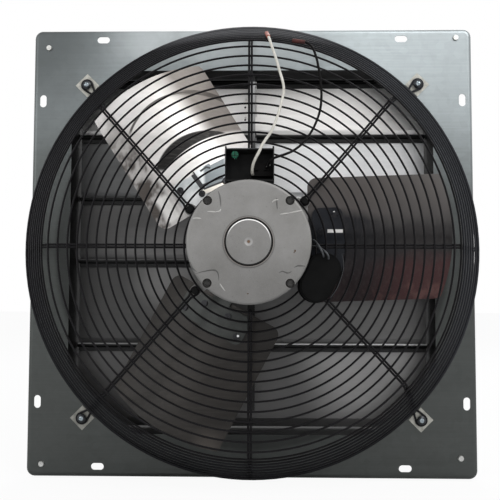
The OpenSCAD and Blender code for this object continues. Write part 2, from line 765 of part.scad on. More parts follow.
// A rib: one wire bent double, and on the diagonals ending in an eye and a screw loop
module rib(k) {
  looped = k % 2 == 1;
  at = k * 360 / ribs;
  foot = [looped ? loop_start[0] : on_rib_slope(rib_end_y)[0], looped ? loop_y : rib_end_y];
  end = polar(looped ? loop_at : foot[0], at);
  shoulder = polar(shoulder_corner[0], at + (looped ? rib_lean[(k - 1) / 2] : 0));
  start = looped ? polar(mount_at, mount_angles[(k - 1) / 2]) : polar(rib_inner_r, at);
  reach = norm(end - shoulder);
  foot_at = looped
    ? reach * (foot[0] - shoulder_corner[0]) / (loop_at - shoulder_corner[0]) : reach;
  drop = atan2(foot[1] - rib_y, foot_at);
  tangent = shoulder_bend * tan(drop / 2);
  corner = shoulder - tangent * unit(end - shoulder);
  // A leaning rib's long run stops inside the ball of its joint, just short of the bend
  plan_run = norm(corner - start) - (looped ? bend_grip + joint_short : 0);
  along_plan(shoulder, end) {
    for (s = [-1, 1]) {
      aside = s * rib_gap / 2;
      translate([-tangent, rib_y + shoulder_bend, aside]) rotate([0, 0, -90])
        rotate_extrude(angle = drop)
          translate([shoulder_bend, 0]) circle(rib_wire / 2 + bend_swell);
      rib_run([0, rib_y] + polar(tangent, drop), [foot_at, foot[1]], aside);
      if (looped)
        translate([-tangent, rib_y, aside]) rotate([0, 0, -90]) sphere(d = rib_wire + joint_swell);
    }
    if (looped) translate([reach, 0, 0]) rib_loop(reach - foot_at, loop_y, loop_r, 1);
  }
  along_plan(start, corner) {
    for (s = [-1, 1])
      rib_run([looped ? eye_neck : 0, rib_y], [plan_run, rib_y], s * rib_gap / 2);
    if (looped) rib_loop(eye_neck, rib_y, eye_r, -1);
    else rib_turn([0, rib_y], rib_gap / 2, 90, 180);
  }
}

module guard_ribs() {
  color([0.05, 0.05, 0.05]) for (k = [0 : ribs - 1]) rib(k);
}

module at_guard_screws() {
  for (x = [-1, 1], z = [-1, 1]) translate([x * guard_screw_at, 0, z * guard_screw_at]) children();
}

module guard_pads() {
  color([0.72, 0.7, 0.64]) at_guard_screws() difference() {
    rotate([0, 45, 0]) corner_box([-pad_side / 2, -plate_t - pad_t, -pad_side / 2],
                                  [pad_side / 2, -plate_t, pad_side / 2]);
    disc(guard_shank_r + fit_gap, -plate_t - pad_t - cut, 0);
  }
}

module guard_screws() {
  head_y = loop_y - rib_wire / 2 - fit_gap;
  color([0.75, 0.75, 0.76]) at_guard_screws() difference() {
    union() {
      disc(guard_shank_r, head_y - eps, guard_screw_tail);
      turned() intersection() {
        translate([0, head_y + 5]) circle(guard_head_h + 5);
        translate([0, head_y - guard_head_h]) square([guard_head_r, guard_head_h]);
      }
    }
    for (a = [0, 90]) rotate([0, a + 20, 0])
      corner_box([-3.2, head_y - guard_head_h - cut, -0.6], [3.2, head_y - guard_head_h + 1.8, 0.6]);
  }
}

// Copies of a shape at the four mounting bolts
module at_mounts() {
  for (a = mount_angles) rotate([0, -a, 0]) translate([mount_at, 0, 0]) children();
}

module motor_mount_bolts() {
  color([0.62, 0.62, 0.6]) at_mounts() {
    disc(mount_bolt_r, mount_head_y - eps, ear_back + mount_nut_h + 1.5);
    translate([0, mount_head_y, 0]) rotate([90, 0, 0])
      cylinder(h = mount_head_h, r = mount_head_r, $fn = 6);
  }
}

module motor_mount_nuts() {
  color([0.62, 0.62, 0.6]) at_mounts() difference() {
    translate([0, ear_back + mount_nut_h, 0]) rotate([90, 0, 0])
      cylinder(h = mount_nut_h, r = mount_nut_r, $fn = 6);
    disc(mount_bolt_r + fit_gap, ear_back - cut, ear_back + mount_nut_h + cut);
  }
}

// Round-edged cup of an end bell, from its outer face at depth 0 inward
module bell_section(rim_len, bore_r) {
  round_r = 3;
  difference() {
    union() {
      translate([0, 0]) square([bell_r - round_r, bell_t]);
      translate([0, round_r]) square([bell_r, bell_t - round_r]);
      translate([bell_r - round_r, round_r]) intersection() {
        circle(round_r);
        translate([0, -round_r]) square([round_r, round_r]);
      }
      translate([bell_r - bell_rim_t, bell_t - eps]) square([bell_rim_t, rim_len - bell_t]);
    }
    translate([-1, -1]) square([bore_r + 1, bell_t + 2]);
  }
}

module motor_rear_bell() {
  color([0.66, 0.65, 0.63]) difference() {
    union() {
      translate([0, -motor_face, 0]) turned() bell_section(bell_len, 6);
      ring(bearing_r + bearing_seat_t, bearing_r, rear_bearing_y, rear_bearing_y + bearing_w);
      at_bolts() disc(5, -motor_face + bell_t - eps, -motor_face + bell_len);
      ring(cap_r + 2.5, cap_r + 1.2, -motor_face - 1.2, -motor_face + eps);
    }
    disc(shaft_r + 1, -motor_face - cut, rear_bearing_y + cut);
    disc(bearing_r, rear_bearing_y, rear_bearing_y + bearing_w + cut);
    at_bolts() disc(recess_r, -motor_face - cut, -motor_face + recess_depth);
    at_bolts() disc(bolt_r + bolt_gap, -motor_face - cut, -motor_face + bell_len + cut);
    ring(bell_r + 2, spigot_r, -motor_face + bell_len - spigot, -motor_face + bell_len + cut);
  }
}

module motor_drive_bell() {
  color([0.66, 0.65, 0.63]) difference() {
    union() {
      translate([0, drive_face, 0]) mirror([0, 1, 0]) turned() bell_section(bell_len, 20);
      ring(nose_r, bearing_r, nose_end - 3 - bearing_w, nose_end - 3);
      disc(nose_r, nose_end - 3, nose_end);
      at_bolts() disc(5, drive_face - bell_len, drive_face - bell_t + eps);
      for (a = mount_angles) rotate([0, -a, 0]) {
        corner_box([bell_r - 4, ear_front, -ear_w / 2], [mount_at, ear_back, ear_w / 2]);
        translate([mount_at, 0, 0]) disc(ear_w / 2, ear_front, ear_back);
      }
    }
    at_mounts() disc(mount_bolt_r + fit_gap, ear_front - cut, ear_back + cut);
    ring(bell_r + 2, spigot_r, drive_face - bell_len - cut, drive_face - bell_len + spigot);
    disc(shaft_r + 1, drive_bearing_y, nose_end + cut);
    at_bolts() disc(bolt_r + bolt_gap, drive_face - bell_len - cut, drive_face + cut);
  }
}

module motor_shell() {
  color([0.12, 0.12, 0.12]) difference() {
    ring(shell_r, shell_r - shell_t, -motor_face + bell_len - spigot,
         drive_face - bell_len + spigot);
    at_box_screws() cylinder(h = box_bottom, r = box_screw_r + fit_gap);
  }
}

module through_bolts() {
  head_y = -motor_face + recess_depth;
  color([0.35, 0.34, 0.33]) at_bolts() {
    disc(bolt_r, head_y - eps, bolt_tip);
    translate([0, head_y, 0]) rotate([90, 0, 0]) cylinder(h = bolt_head_h, r = bolt_head_r, $fn = 6);
  }
}

module through_bolt_nuts() {
  color([0.7, 0.7, 0.68]) at_bolts() difference() {
    translate([0, drive_face + nut_h, 0]) rotate([90, 0, 0]) cylinder(h = nut_h, r = nut_r, $fn = 6);
    disc(bolt_r + fit_gap, drive_face - cut, drive_face + nut_h + cut);
  }
}

module bearing_cap() {
  color([0.68, 0.67, 0.65]) translate([0, -motor_face, 0]) turned() difference() {
    union() {
      translate([0, -cap_h + 1]) square([cap_r, cap_h - 1 - fit_gap]);
      translate([0, -cap_h]) square([cap_r - 1, 1 + eps]);
    }
    translate([0, -cap_h - 10.5]) circle(11.5);
  }
}

module bearings() {
  color([0.6, 0.6, 0.6]) for (y = [rear_bearing_y, drive_bearing_y])
    ring(bearing_r - fit_gap, shaft_r + fit_gap, y + fit_gap, y + bearing_w - fit_gap);
}

module stator_core() {
  r = shell_r - shell_t - fit_gap;
  color([0.4, 0.4, 0.42]) difference() {
    ring(r, core_r + air_gap, core_mid - core_len / 2, core_mid + core_len / 2);
    at_bolts() disc(bolt_r + 1, core_mid - core_len, core_mid + core_len);
  }
}

module stator_windings() {
  inner = core_r + 5;
  outer = core_r + 21;
  base = core_len / 2 + fit_gap;
  color([0.7, 0.38, 0.2]) for (s = [0, 1])
    translate([0, core_mid, 0]) mirror([0, s, 0]) turned()
      polygon([[inner, base], [outer, base], [outer, base + winding_h - 4],
               [outer - 4, base + winding_h], [inner + 4, base + winding_h],
               [inner, base + winding_h - 4]]);
}

module terminal_box() {
  y_front = -box_front;
  color([0.06, 0.06, 0.06]) difference() {
    union() {
      corner_box([box_left, y_front, box_bottom], [box_right, box_back, box_bottom + box_h]);
      for (x = [box_left, box_right - lip_w])
        corner_box([x, y_front, box_bottom + box_h - eps],
                   [x + lip_w, y_front + lip_d, box_bottom + box_h + lip_h]);
      at_box_screws() translate([0, 0, shell_r + fit_gap])
        cylinder(h = box_bottom - shell_r, r = 4.5);
    }
    corner_box([box_left + box_t, y_front - cut, box_bottom + box_t],
               [box_right - box_t, box_back - box_t, box_bottom + box_h - box_t]);
    translate([ground_x, 0, ground_z]) disc(2, box_back - box_t - cut, box_back + cut);
    at_box_screws() cylinder(h = box_bottom + box_t + cut, r = box_screw_r + fit_gap);
  }
}

// The two screws that hold the terminal box to the shell's crest
module at_box_screws() {
  for (y = box_screws_y) translate([0, y, 0]) children();
}

module terminal_box_screws() {
  top = box_bottom + box_t + fit_gap;
  foot = shell_r - shell_t + 0.2;
  color([0.6, 0.6, 0.58]) at_box_screws() {
    translate([0, 0, foot]) cylinder(h = top - foot + eps, r = box_screw_r);
    translate([0, 0, top]) cylinder(h = 2.2, r = 3.6);
  }
}

module terminal_block() {
  low = block_at - [block_size[0] / 2, block_size[1], block_size[2] / 2];
  color([0.14, 0.13, 0.12]) {
    corner_box(low, low + block_size);
    for (x = [-6, 6]) corner_box([block_at[0] + x - 2.5, low[1] - 4, block_at[2] - 0.5],
                                 [block_at[0] + x + 2.5, low[1] + eps, block_at[2] + 0.5]);
  }
}

module ground_screw() {
  color([0.05, 0.45, 0.25]) translate([ground_x, 0, ground_z]) difference() {
    union() {
      disc(2 - fit_gap, ground_head_y, box_back + 2);
      disc(ground_head_r, ground_head_y - 0.8, ground_head_y + 0.6);
      translate([0, ground_head_y, 0]) rotate([90, 0, 0]) cylinder(h = 4, r = 3.9, $fn = 6);
    }
    corner_box([-5, ground_head_y - 5, -0.5], [5, ground_head_y - 2.8, 0.5]);
  }
}

// A tube swept along a route of places
function unit(v) = v / norm(v);
function along(route, k) =
  unit(route[min(k + 1, len(route) - 1)] - route[max(k - 1, 0)]);
function route_side(dir) = unit(cross(dir, [0.6, 0.1, -0.8]));
function route_ring(route, k, d) =
  let (dir = along(route, k), side = route_side(dir), up = cross(side, dir))
  [for (s = [0 : lead_sides - 1])
    route[k] + d / 2 * (cos(360 * s / lead_sides) * side + sin(360 * s / lead_sides) * up)];

module swept(route, d) {
  n = lead_sides;
  last = len(route) - 1;
  points = [for (k = [0 : last]) each route_ring(route, k, d)];
  walls = [for (k = [0 : last - 1], s = [0 : n - 1])
    each [[k * n + s, (k + 1) * n + s, (k + 1) * n + (s + 1) % n],
          [k * n + s, (k + 1) * n + (s + 1) % n, k * n + (s + 1) % n]]];
  caps = [[for (s = [0 : n - 1]) s], [for (s = [n - 1 : -1 : 0]) last * n + s]];
  polyhedron(points, concat(walls, caps));
}

// A connector's barrel that starts at a place and follows a direction
module connector(at, dir, length) {
  yaw = atan2(dir[1], dir[0]);
  pitch = atan2(norm([dir[0], dir[1]]), dir[2]);
  translate(at) rotate([0, 0, yaw]) rotate([0, pitch, 0]) {
    cylinder(h = length, d = connector_d);
    translate([0, 0, length - eps]) cylinder(h = 1.5, r1 = connector_d / 2, r2 = connector_d / 2 - 0.8);
  }
}

function route_end(route) = route[len(route) - 1];

module white_lead() {
  color([0.9, 0.89, 0.84]) swept(white_route, white_d);
}

module black_lead() {
  color([0.04, 0.04, 0.04]) swept(black_route, black_d);
}

module white_lead_connector() {
  color([0.8, 0.25, 0.1])
    connector(route_end(white_route), [-0.1, slope_dir[1], slope_dir[0]], white_connector_len);
}

module black_lead_connector() {
  color([0.8, 0.35, 0.1])
    connector(route_end(black_route), [-0.95, 0.12, 0.18], black_connector_len);
}

// The capacitor's place: across points away from the motor's axis
module at_capacitor() {
  rotate([0, capacitor_at, 0]) translate([capacitor_r, 0, 0]) children();
}

module oval(w, h) {
  square([w, h - w], center = true);
  for (s = [-1, 1]) translate([0, s * (h - w) / 2]) circle(w / 2);
}

module capacitor() {
  color([0.08, 0.08, 0.09]) at_capacitor() {
    between(-box_front + 2, capacitor_back) oval(capacitor_w, capacitor_h);
    between(-box_front, -box_front + 2 + eps) oval(capacitor_w - 4, capacitor_h - 4);
  }
}

module capacitor_strap() {
  gap = 0.1;
  color([0.6, 0.6, 0.6]) difference() {
    at_capacitor() {
      between(strap_y - strap_w / 2, strap_y + strap_w / 2)
        oval(capacitor_w + 2 * gap + 2 * strap_t, capacitor_h + 2 * gap + 2 * strap_t);
      corner_box([-capacitor_w / 2 - 4, strap_y - strap_w / 2, -8],
                 [-capacitor_w / 2, strap_y + strap_w / 2, 8]);
    }
    at_capacitor() between(strap_y - strap_w, strap_y + strap_w)
      oval(capacitor_w + 2 * gap, capacitor_h + 2 * gap);
    disc(shell_r + fit_gap, -motor_face, 0);
  }
}

module capacitor_leads() {
  color([0.5, 0.5, 0.5]) for (route = capacitor_routes) swept(route, capacitor_lead_d);
}

module shaft() {
  color([0.7, 0.7, 0.7]) disc(shaft_r, rear_bearing_y + 0.5, shaft_end);
}

module rotor_core() {
  color([0.5, 0.5, 0.52])
    ring(core_r, shaft_r + fit_gap, core_mid - core_len / 2, core_mid + core_len / 2);
}

module hub() {
  color([0.55, 0.55, 0.56]) difference() {
    disc(hub_r, hub_front, hub_front + hub_len);
    disc(shaft_r + hub_clearance, hub_front - cut, hub_front + hub_len + cut);
    translate([0, set_screw_y, 0]) cylinder(h = hub_r + cut, r = set_screw_r + fit_gap);
  }
}

module set_screw() {
  color([0.3, 0.3, 0.3]) translate([0, set_screw_y, shaft_r + fit_gap])
    cylinder(h = hub_r - shaft_r + 1, r = set_screw_r);
}

// Turns a shape that is drawn for a blade along +X to each blade's place, or to one of them
module at_blade(k) {
  rotate([0, -(first_blade + 120 * k), 0]) children();
}

// The shell between two distances from the blade's front face, cut to an outline
module blade_shell(front, back) {
  intersection() {
    translate([0, blade_axis[1], blade_axis[0]]) difference() {
      rotate([0, 90, 0]) cylinder(h = tip_r + cut, r = blade_radius + front, $fn = 180);
      translate([-cut, 0, 0]) rotate([0, 90, 0])
        cylinder(h = tip_r + 3 * cut, r = blade_radius + back, $fn = 180);
    }
    between(-lead_y - 30, 0) children();
  }
}

module blade_outline() {
  length = tip_r - root_u;
  width = lead_v + trail_v;
  intersection() {
    translate([root_u + length / 2, (lead_v - trail_v) / 2]) {
      translate([0, 0]) square([length - 2 * tip_corner, width], center = true);
      translate([-tip_corner / 2 + root_corner / 2, 0])
        square([length - tip_corner - root_corner, width], center = true);
      square([length, width - 2 * tip_corner], center = true);
      for (s = [-1, 1]) {
        translate([length / 2 - tip_corner, s * (width / 2 - tip_corner)]) circle(tip_corner);
        translate([-length / 2 + root_corner, s * (width / 2 - root_corner)]) circle(root_corner);
      }
      translate([-length / 2 + root_corner, 0])
        square([2 * root_corner, width - 2 * root_corner], center = true);
    }
    circle(tip_r, $fn = 180);
  }
}

// A rivet's axis stands square to the blade, with its origin on the blade's front face
module at_blade_rivets() {
  for (p = blade_rivets_at)
    translate([p[0], blade_front_y(p[1]), p[1]]) rotate([-blade_tilt(p[1]), 0, 0]) children();
}

module blade(k) {
  color([0.75, 0.73, 0.7]) at_blade(k) difference() {
    blade_shell(0, -blade_t) blade_outline();
    at_blade_rivets() disc(rivet_r + fit_gap, -cut, blade_t + cut);
  }
}

module spider() {
  color([0.72, 0.73, 0.74]) difference() {
    union() {
      disc(disc_r, disc_back - disc_t, disc_back);
      for (k = [0 : 2]) at_blade(k) blade_shell(fit_gap + spider_t, fit_gap) {
        translate([(arm_root + arm_reach) / 2, 0])
          square([arm_reach - arm_root, 2 * arm_half_w], center = true);
        translate([(pad_inner + pad_outer) / 2, 0])
          round_rect(pad_outer - pad_inner, 2 * pad_half_v, pad_corner);
      }
    }
    disc(hub_r + fit_gap, disc_back - disc_t - 20, disc_back + 20);
    for (k = [0 : 2]) at_blade(k) at_blade_rivets()
      disc(rivet_r + fit_gap, -spider_t - 2 * cut, cut);
  }
}

module blade_rivets() {
  color([0.7, 0.7, 0.7]) for (k = [0 : 2]) at_blade(k) at_blade_rivets() {
    disc(rivet_r, -spider_t - fit_gap - eps, blade_t + fit_gap + eps);
    disc(rivet_head_r, -spider_t - 0.1 - rivet_head_h, -spider_t - 0.1);
    disc(rivet_head_r, blade_t + 0.1, blade_t + 0.1 + rivet_head_h);
  }
}

mounting_plate();
frame_beam(1);  // shutter_frame_top
frame_beam(-1);  // shutter_frame_bottom
frame_side(-1);  // shutter_frame_left
frame_side(1);  // shutter_frame_right
pivot_bushes();
corner_screws();
slat(0);  // slat_1
slat(1);  // slat_2
slat(2);  // slat_3
slat(3);  // slat_4
slat(4);  // slat_5
pivot_rod(0);  // pivot_rod_1
pivot_rod(1);  // pivot_rod_2
pivot_rod(2);  // pivot_rod_3
pivot_rod(3);  // pivot_rod_4
pivot_rod(4);  // pivot_rod_5
slat_bracket(0);  // slat_bracket_1
slat_bracket(1);  // slat_bracket_2
slat_bracket(2);  // slat_bracket_3
slat_bracket(3);  // slat_bracket_4
slat_bracket(4);  // slat_bracket_5
tie_bar();
guard_base_ring();
guard_side_rings();
guard_face_rings();
guard_ribs();
guard_pads();
guard_screws();
motor_mount_bolts();
motor_mount_nuts();
motor_rear_bell();
motor_drive_bell();
motor_shell();
through_bolts();
through_bolt_nuts();
bearing_cap();
bearings();
stator_core();
stator_windings();
terminal_box();
terminal_box_screws();
terminal_block();
ground_screw();
white_lead();
black_lead();
white_lead_connector();
black_lead_connector();
capacitor();
capacitor_strap();
capacitor_leads();
shaft();
rotor_core();
hub();
set_screw();
spider();
blade(0);  // blade_1
blade(1);  // blade_2
blade(2);  // blade_3
blade_rivets();
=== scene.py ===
import json
import math

import bmesh
import bpy
from mathutils import Euler, Matrix, Vector

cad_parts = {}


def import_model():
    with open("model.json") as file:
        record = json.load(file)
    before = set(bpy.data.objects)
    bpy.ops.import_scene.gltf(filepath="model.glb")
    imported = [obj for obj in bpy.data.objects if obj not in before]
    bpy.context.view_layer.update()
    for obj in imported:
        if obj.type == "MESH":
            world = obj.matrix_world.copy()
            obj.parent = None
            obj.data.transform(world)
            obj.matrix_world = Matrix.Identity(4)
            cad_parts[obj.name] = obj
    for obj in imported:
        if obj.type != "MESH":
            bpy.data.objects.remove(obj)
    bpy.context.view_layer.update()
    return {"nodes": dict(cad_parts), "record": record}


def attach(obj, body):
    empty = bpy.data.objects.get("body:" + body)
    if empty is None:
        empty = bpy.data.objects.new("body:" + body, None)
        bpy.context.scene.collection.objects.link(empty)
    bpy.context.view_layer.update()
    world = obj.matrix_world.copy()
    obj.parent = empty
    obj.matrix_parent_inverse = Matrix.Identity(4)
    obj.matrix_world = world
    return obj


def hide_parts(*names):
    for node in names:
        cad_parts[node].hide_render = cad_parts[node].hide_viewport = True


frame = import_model()
nodes = frame["nodes"]
MM = 0.001

# Slats, guard screws, frame, the guard's shoulder, bearing cap and bell, in millimetres
SLATS = (1, 2, 3, 4, 5)
SLAT_TOPS = (246, 167, 78, -11, -129)
SCREW_AT = 225
FRAME_HALF = 247.8
GUARD_R = 260
CAP_R = 26
BELL_FACE = -162.0

# The camera was fitted to the plate's corners and slots in the photo
CAMERA_AT = (0.0159, -0.907, -0.0506)
CAMERA_TILT = (3.181, 1.098, 0.148)
LENS = 48.456

# The colour sockets of Blender's Mix node, which has one set for each kind of data
MIX_A, MIX_B, MIX_RESULT = 6, 7, 2
X, Y, Z = 0, 1, 2
# The shaft's place in the XZ plane
AXIS = (0, 0)


def camera():
    """Looks along +Y, with the small tilt of the photo."""
    data = bpy.data.cameras.new("camera")
    data.sensor_width = 36
    data.lens = LENS
    data.clip_start = 0.01
    ob = bpy.data.objects.new("camera", data)
    bpy.context.scene.collection.objects.link(ob)
    tilt = Euler([math.radians(angle) for angle in CAMERA_TILT], "XYZ")
    turn = Matrix.Rotation(math.radians(90), 3, "X") @ tilt.to_matrix()
    ob.matrix_world = Matrix.Translation(CAMERA_AT) @ turn.to_4x4()
    bpy.context.scene.camera = ob


class Shade:
    """A material whose colour, roughness and bump come from procedural nodes.

    Points, lines, rings and radii are in millimetres of the part's own X and Z.
    """

    def __init__(self, name, metallic=0.0, roughness=0.5, specular=0.5):
        self.mat = bpy.data.materials.new(name)
        self.mat.use_nodes = True
        self.tree = self.mat.node_tree
        self.out = self.tree.nodes["Principled BSDF"]
        self.out.inputs["Metallic"].default_value = metallic
        self.out.inputs["Roughness"].default_value = roughness
        self.out.inputs["Specular IOR Level"].default_value = specular
        self.place = self.node("ShaderNodeTexCoord").outputs["Object"]

    def node(self, kind, **props):
        n = self.tree.nodes.new(kind)
        for k, v in props.items():
            setattr(n, k, v)
        return n

    def put(self, socket, value):
        """Links a socket to another, or sets it to a number, a vector or a colour."""
        if isinstance(value, bpy.types.NodeSocket):
            self.tree.links.new(value, socket)
        elif isinstance(value, (tuple, list)) and len(value) == 3 and socket.type == "RGBA":
            socket.default_value = (*value, 1)
        else:
            socket.default_value = value

    def math(self, op, a, b=0.0):
        n = self.node("ShaderNodeMath", operation=op)
        self.put(n.inputs[0], a)
        self.put(n.inputs[1], b)
        return n.outputs[0]

    def times(self, a, b):
        return self.math("MULTIPLY", a, b)

    def plus(self, a, b):
        return self.math("ADD", a, b)

    def sway(self, noise, size):
        """A noise turned into an offset round zero, in metres."""
        return self.times(self.math("SUBTRACT", noise, 0.5), size)

    def stretch(self, scale, turned):
        n = self.node("ShaderNodeMapping")
        self.put(n.inputs["Vector"], self.place)
        n.inputs["Scale"].default_value = scale
        n.inputs["Rotation"].default_value = turned
        return n.outputs[0]

    def noise(self, scale, detail=4, rough=0.55, stretch=None, turned=(0, 0, 0)):
        n = self.node("ShaderNodeTexNoise")
        self.put(n.inputs["Vector"], self.stretch(stretch, turned) if stretch else self.place)
        n.inputs["Scale"].default_value = scale
        n.inputs["Detail"].default_value = detail
        n.inputs["Roughness"].default_value = rough
        return n.outputs[0]

    def cells(self, scale):
        """Crystal grains, each with its own grey."""
        n = self.node("ShaderNodeTexVoronoi")
        self.put(n.inputs["Vector"], self.place)
        n.inputs["Scale"].default_value = scale
        return n.outputs["Color"]

    def axis(self, which):
        """The place along X, Y or Z, in metres."""
        n = self.node("ShaderNodeSeparateXYZ")
        self.put(n.inputs[0], self.place)
        return n.outputs[which]

    def facing(self, which):
        """1 where the surface looks to the low side of the given axis, else 0."""
        n = self.node("ShaderNodeSeparateXYZ")
        self.put(n.inputs[0], self.node("ShaderNodeTexCoord").outputs["Normal"])
        return self.span(n.outputs[which], -0.1, 0.1, 1, 0)

    def span(self, value, low, high, to_low=0.0, to_high=1.0):
        """Runs smoothly from to_low to to_high while the value goes from low to high."""
        n = self.node("ShaderNodeMapRange", clamp=True, interpolation_type="SMOOTHSTEP")
        self.put(n.inputs[0], value)
        for name, v in (("From Min", low), ("From Max", high), ("To Min", to_low), ("To Max", to_high)):
            n.inputs[name].default_value = v
        return n.outputs[0]

    def over(self, which, low, high, to_low=0.0, to_high=1.0):
        """A span between two places on the X, Y or Z axis, in millimetres."""
        return self.span(self.axis(which), low * MM, high * MM, to_low, to_high)

    def dot(self, point, along):
        """Distance along a direction of the XZ plane from a point of it, in metres."""
        n = self.node("ShaderNodeVectorMath", operation="SUBTRACT")
        self.put(n.inputs[0], self.place)
        n.inputs[1].default_value = (point[0] * MM, 0, point[1] * MM)
        d = self.node("ShaderNodeVectorMath", operation="DOT_PRODUCT")
        self.put(d.inputs[0], n.outputs[0])
        d.inputs[1].default_value = (along[0], 0, along[1])
        return d.outputs["Value"]

    def stripe(self, a, b, half, soft):
        """1 along the line from a to b, millimetres of X and Z, 0 beside it."""
        size = math.hypot(b[0] - a[0], b[1] - a[1])
        d = ((b[0] - a[0]) / size, (b[1] - a[1]) / size)
        mid = ((a[0] + b[0]) / 2, (a[1] + b[1]) / 2)
        ends = self.math("ABSOLUTE", self.dot(mid, d))
        side = self.math("ABSOLUTE", self.dot(mid, (-d[1], d[0])))
        return self.times(self.span(ends, size / 2 * MM, (size / 2 + soft) * MM, 1, 0),
                          self.span(side, half * MM, (half + soft) * MM, 1, 0))

    def away(self, point):
        """Distance from a point of the XZ plane, in metres."""
        n = self.node("ShaderNodeVectorMath", operation="MULTIPLY")
        self.put(n.inputs[0], self.place)
        n.inputs[1].default_value = (1, 0, 1)
        d = self.node("ShaderNodeVectorMath", operation="DISTANCE")
        self.put(d.inputs[0], n.outputs[0])
        d.inputs[1].default_value = (point[0] * MM, 0, point[1] * MM)
        return d.outputs["Value"]

    def within(self, point, near, far, inside, outside):
        """A span between two distances from a point of the XZ plane, in millimetres."""
        return self.span(self.away(point), near * MM, far * MM, inside, outside)

    def ring(self, centre, r, half, soft):
        """1 on a circle of the XZ plane, millimetres, 0 beside it."""
        off = self.math("ABSOLUTE", self.math("SUBTRACT", self.away(centre), r * MM))
        return self.span(off, half * MM, (half + soft) * MM, 1, 0)

    def ramp(self, fac, stops):
        n = self.node("ShaderNodeValToRGB")
        self.put(n.inputs[0], fac)
        e = n.color_ramp.elements
        while len(e) < len(stops):
            e.new(0.5)
        for el, (at, c) in zip(e, stops):
            el.position = at
            el.color = (*c, 1)
        return n.outputs[0]

    def mix(self, fac, a, b, mode="MIX"):
        n = self.node("ShaderNodeMix", data_type="RGBA", blend_type=mode)
        self.put(n.inputs[0], fac)
        self.put(n.inputs[MIX_A], a)
        self.put(n.inputs[MIX_B], b)
        return n.outputs[MIX_RESULT]

    def film(self, base, mask, amount, colour):
        """Lays a colour over the base where the mask is 1, as thickly as the amount says."""
        return self.mix(self.times(mask, amount), base, colour)

    def dim(self, base, level, tint=(1, 1, 1)):
        """Multiplies a colour by a level from 0 to 1 and by a tint."""
        return self.mix(1.0, base, self.mix(level, (0, 0, 0), tint), "MULTIPLY")

    def colour(self, value):
        self.put(self.out.inputs["Base Color"], value)
        return self

    def rough(self, value):
        self.put(self.out.inputs["Roughness"], value)
        return self

    def bump(self, *layers):
        """Layers of height, strength and distance in metres, one upon another."""
        last = None
        for height, strength, distance in layers:
            n = self.node("ShaderNodeBump")
            n.inputs["Strength"].default_value = strength
            n.inputs["Distance"].default_value = distance
            self.put(n.inputs["Height"], height)
            if last is not None:
                self.put(n.inputs["Normal"], last)
            last = n.outputs[0]
        self.put(self.out.inputs["Normal"], last)
        return self

    def sheet(self, base, fine, broad, gloss=0.2):
        """Finishes a blade with its fine grain and its broad waves."""
        self.colour(base).rough(self.plus(self.times(fine, gloss), 0.26))
        return self.bump((fine, 0.05, 0.0004), (broad, 0.05, 0.002)).mat


def galvanised():
    """Spangled sheet with painted light and shade: bright at the top, dim below, in its top corners and
    close to the guard.
    """
    s = Shade("galvanised", metallic=0.85, roughness=0.4)
    spangle = s.plus(s.times(s.cells(120), 0.7), s.times(s.cells(45), 0.3))
    drawn = s.noise(60, 5, 0.6, stretch=(0.12, 1, 6))
    tone = s.plus(s.times(spangle, 0.22), s.times(drawn, 0.5))
    base = s.ramp(tone, [(0.1, (0.33, 0.345, 0.345)), (0.6, (0.47, 0.495, 0.50))])
    # Painted light: brighter towards the top, dimmer towards the bottom
    up = s.plus(s.times(s.axis(X), 0.1), s.axis(Z))
    up = s.plus(up, s.sway(s.noise(5, 3), 0.08))
    tint = s.ramp(s.span(up, -0.32, 0.32), [(0.0, (0.165, 0.168, 0.16)), (0.45, (0.175, 0.178, 0.17)),
                                            (0.72, (0.27, 0.28, 0.275)), (0.88, (0.6, 0.63, 0.64)),
                                            (1.0, (0.95, 1.0, 1.02))])
    base = s.mix(1.0, base, tint, "MULTIPLY")
    # Painted shade in the two top corners
    base = s.mix(s.within((-310, 310), 40, 220, 0.85, 0.0), base, (0.05, 0.055, 0.055))
    base = s.mix(s.within((315, 310), 30, 200, 0.45, 0.0), base, (0.12, 0.13, 0.135))
    # A painted highlight along the top, left of the middle
    crest_highlight = s.times(s.over(Z, 240, 280, 0, 0.4), s.over(X, -220, -130))
    base = s.mix(s.times(crest_highlight, s.over(X, 0, 120, 1, 0)), base, (0.62, 0.65, 0.66))
    # Painted shade inside the guard's circle, fading out towards the top
    inside = s.within(AXIS, GUARD_R + 2, GUARD_R + 10, 0.5, 0.0)
    inside = s.times(inside, s.over(Z, 120, 220, 1, 0))
    base = s.mix(inside, base, (0.01, 0.01, 0.01))
    film = s.span(s.noise(7, 6, 0.62), 0.45, 0.75, 0.0, 0.3)
    base = s.mix(film, base, (0.07, 0.072, 0.068))
    s.colour(base).rough(s.plus(s.times(drawn, 0.2), 0.3))
    return s.bump((drawn, 0.05, 0.0005), (s.noise(2200, 2), 0.06, 0.0001)).mat


def frame_sheet():
    """Galvanised sheet of the shutter's frame, painted nearly black inside as shade, and lighter on its
    outer faces.
    """
    s = Shade("frame_sheet", metallic=0.05, roughness=0.55, specular=0.06)
    drawn = s.noise(80, 5, 0.6, stretch=(0.3, 1, 3))
    # Painted shade: the inner walls nearly black
    base = s.ramp(drawn, [(0.3, (0.014, 0.014, 0.014)), (0.7, (0.04, 0.04, 0.04))])
    wide = s.math("ABSOLUTE", s.axis(X))
    # Deeper painted shade on the side walls
    base = s.mix(s.span(wide, 0.243, 0.246), base, (0.004, 0.0038, 0.0038))
    far = s.math("MAXIMUM", wide, s.math("ABSOLUTE", s.axis(Z)))
    outer = s.times(s.span(far, (FRAME_HALF - 0.1) * MM, (FRAME_HALF + 0.1) * MM), s.over(Y, 2, 4))
    outer_tone = s.ramp(drawn, [(0.3, (0.2, 0.21, 0.21)), (0.7, (0.36, 0.37, 0.37))])
    base = s.mix(outer, base, outer_tone)
    s.colour(base).rough(s.plus(s.times(drawn, 0.25), 0.45))
    return s.bump((drawn, 0.05, 0.0005)).mat


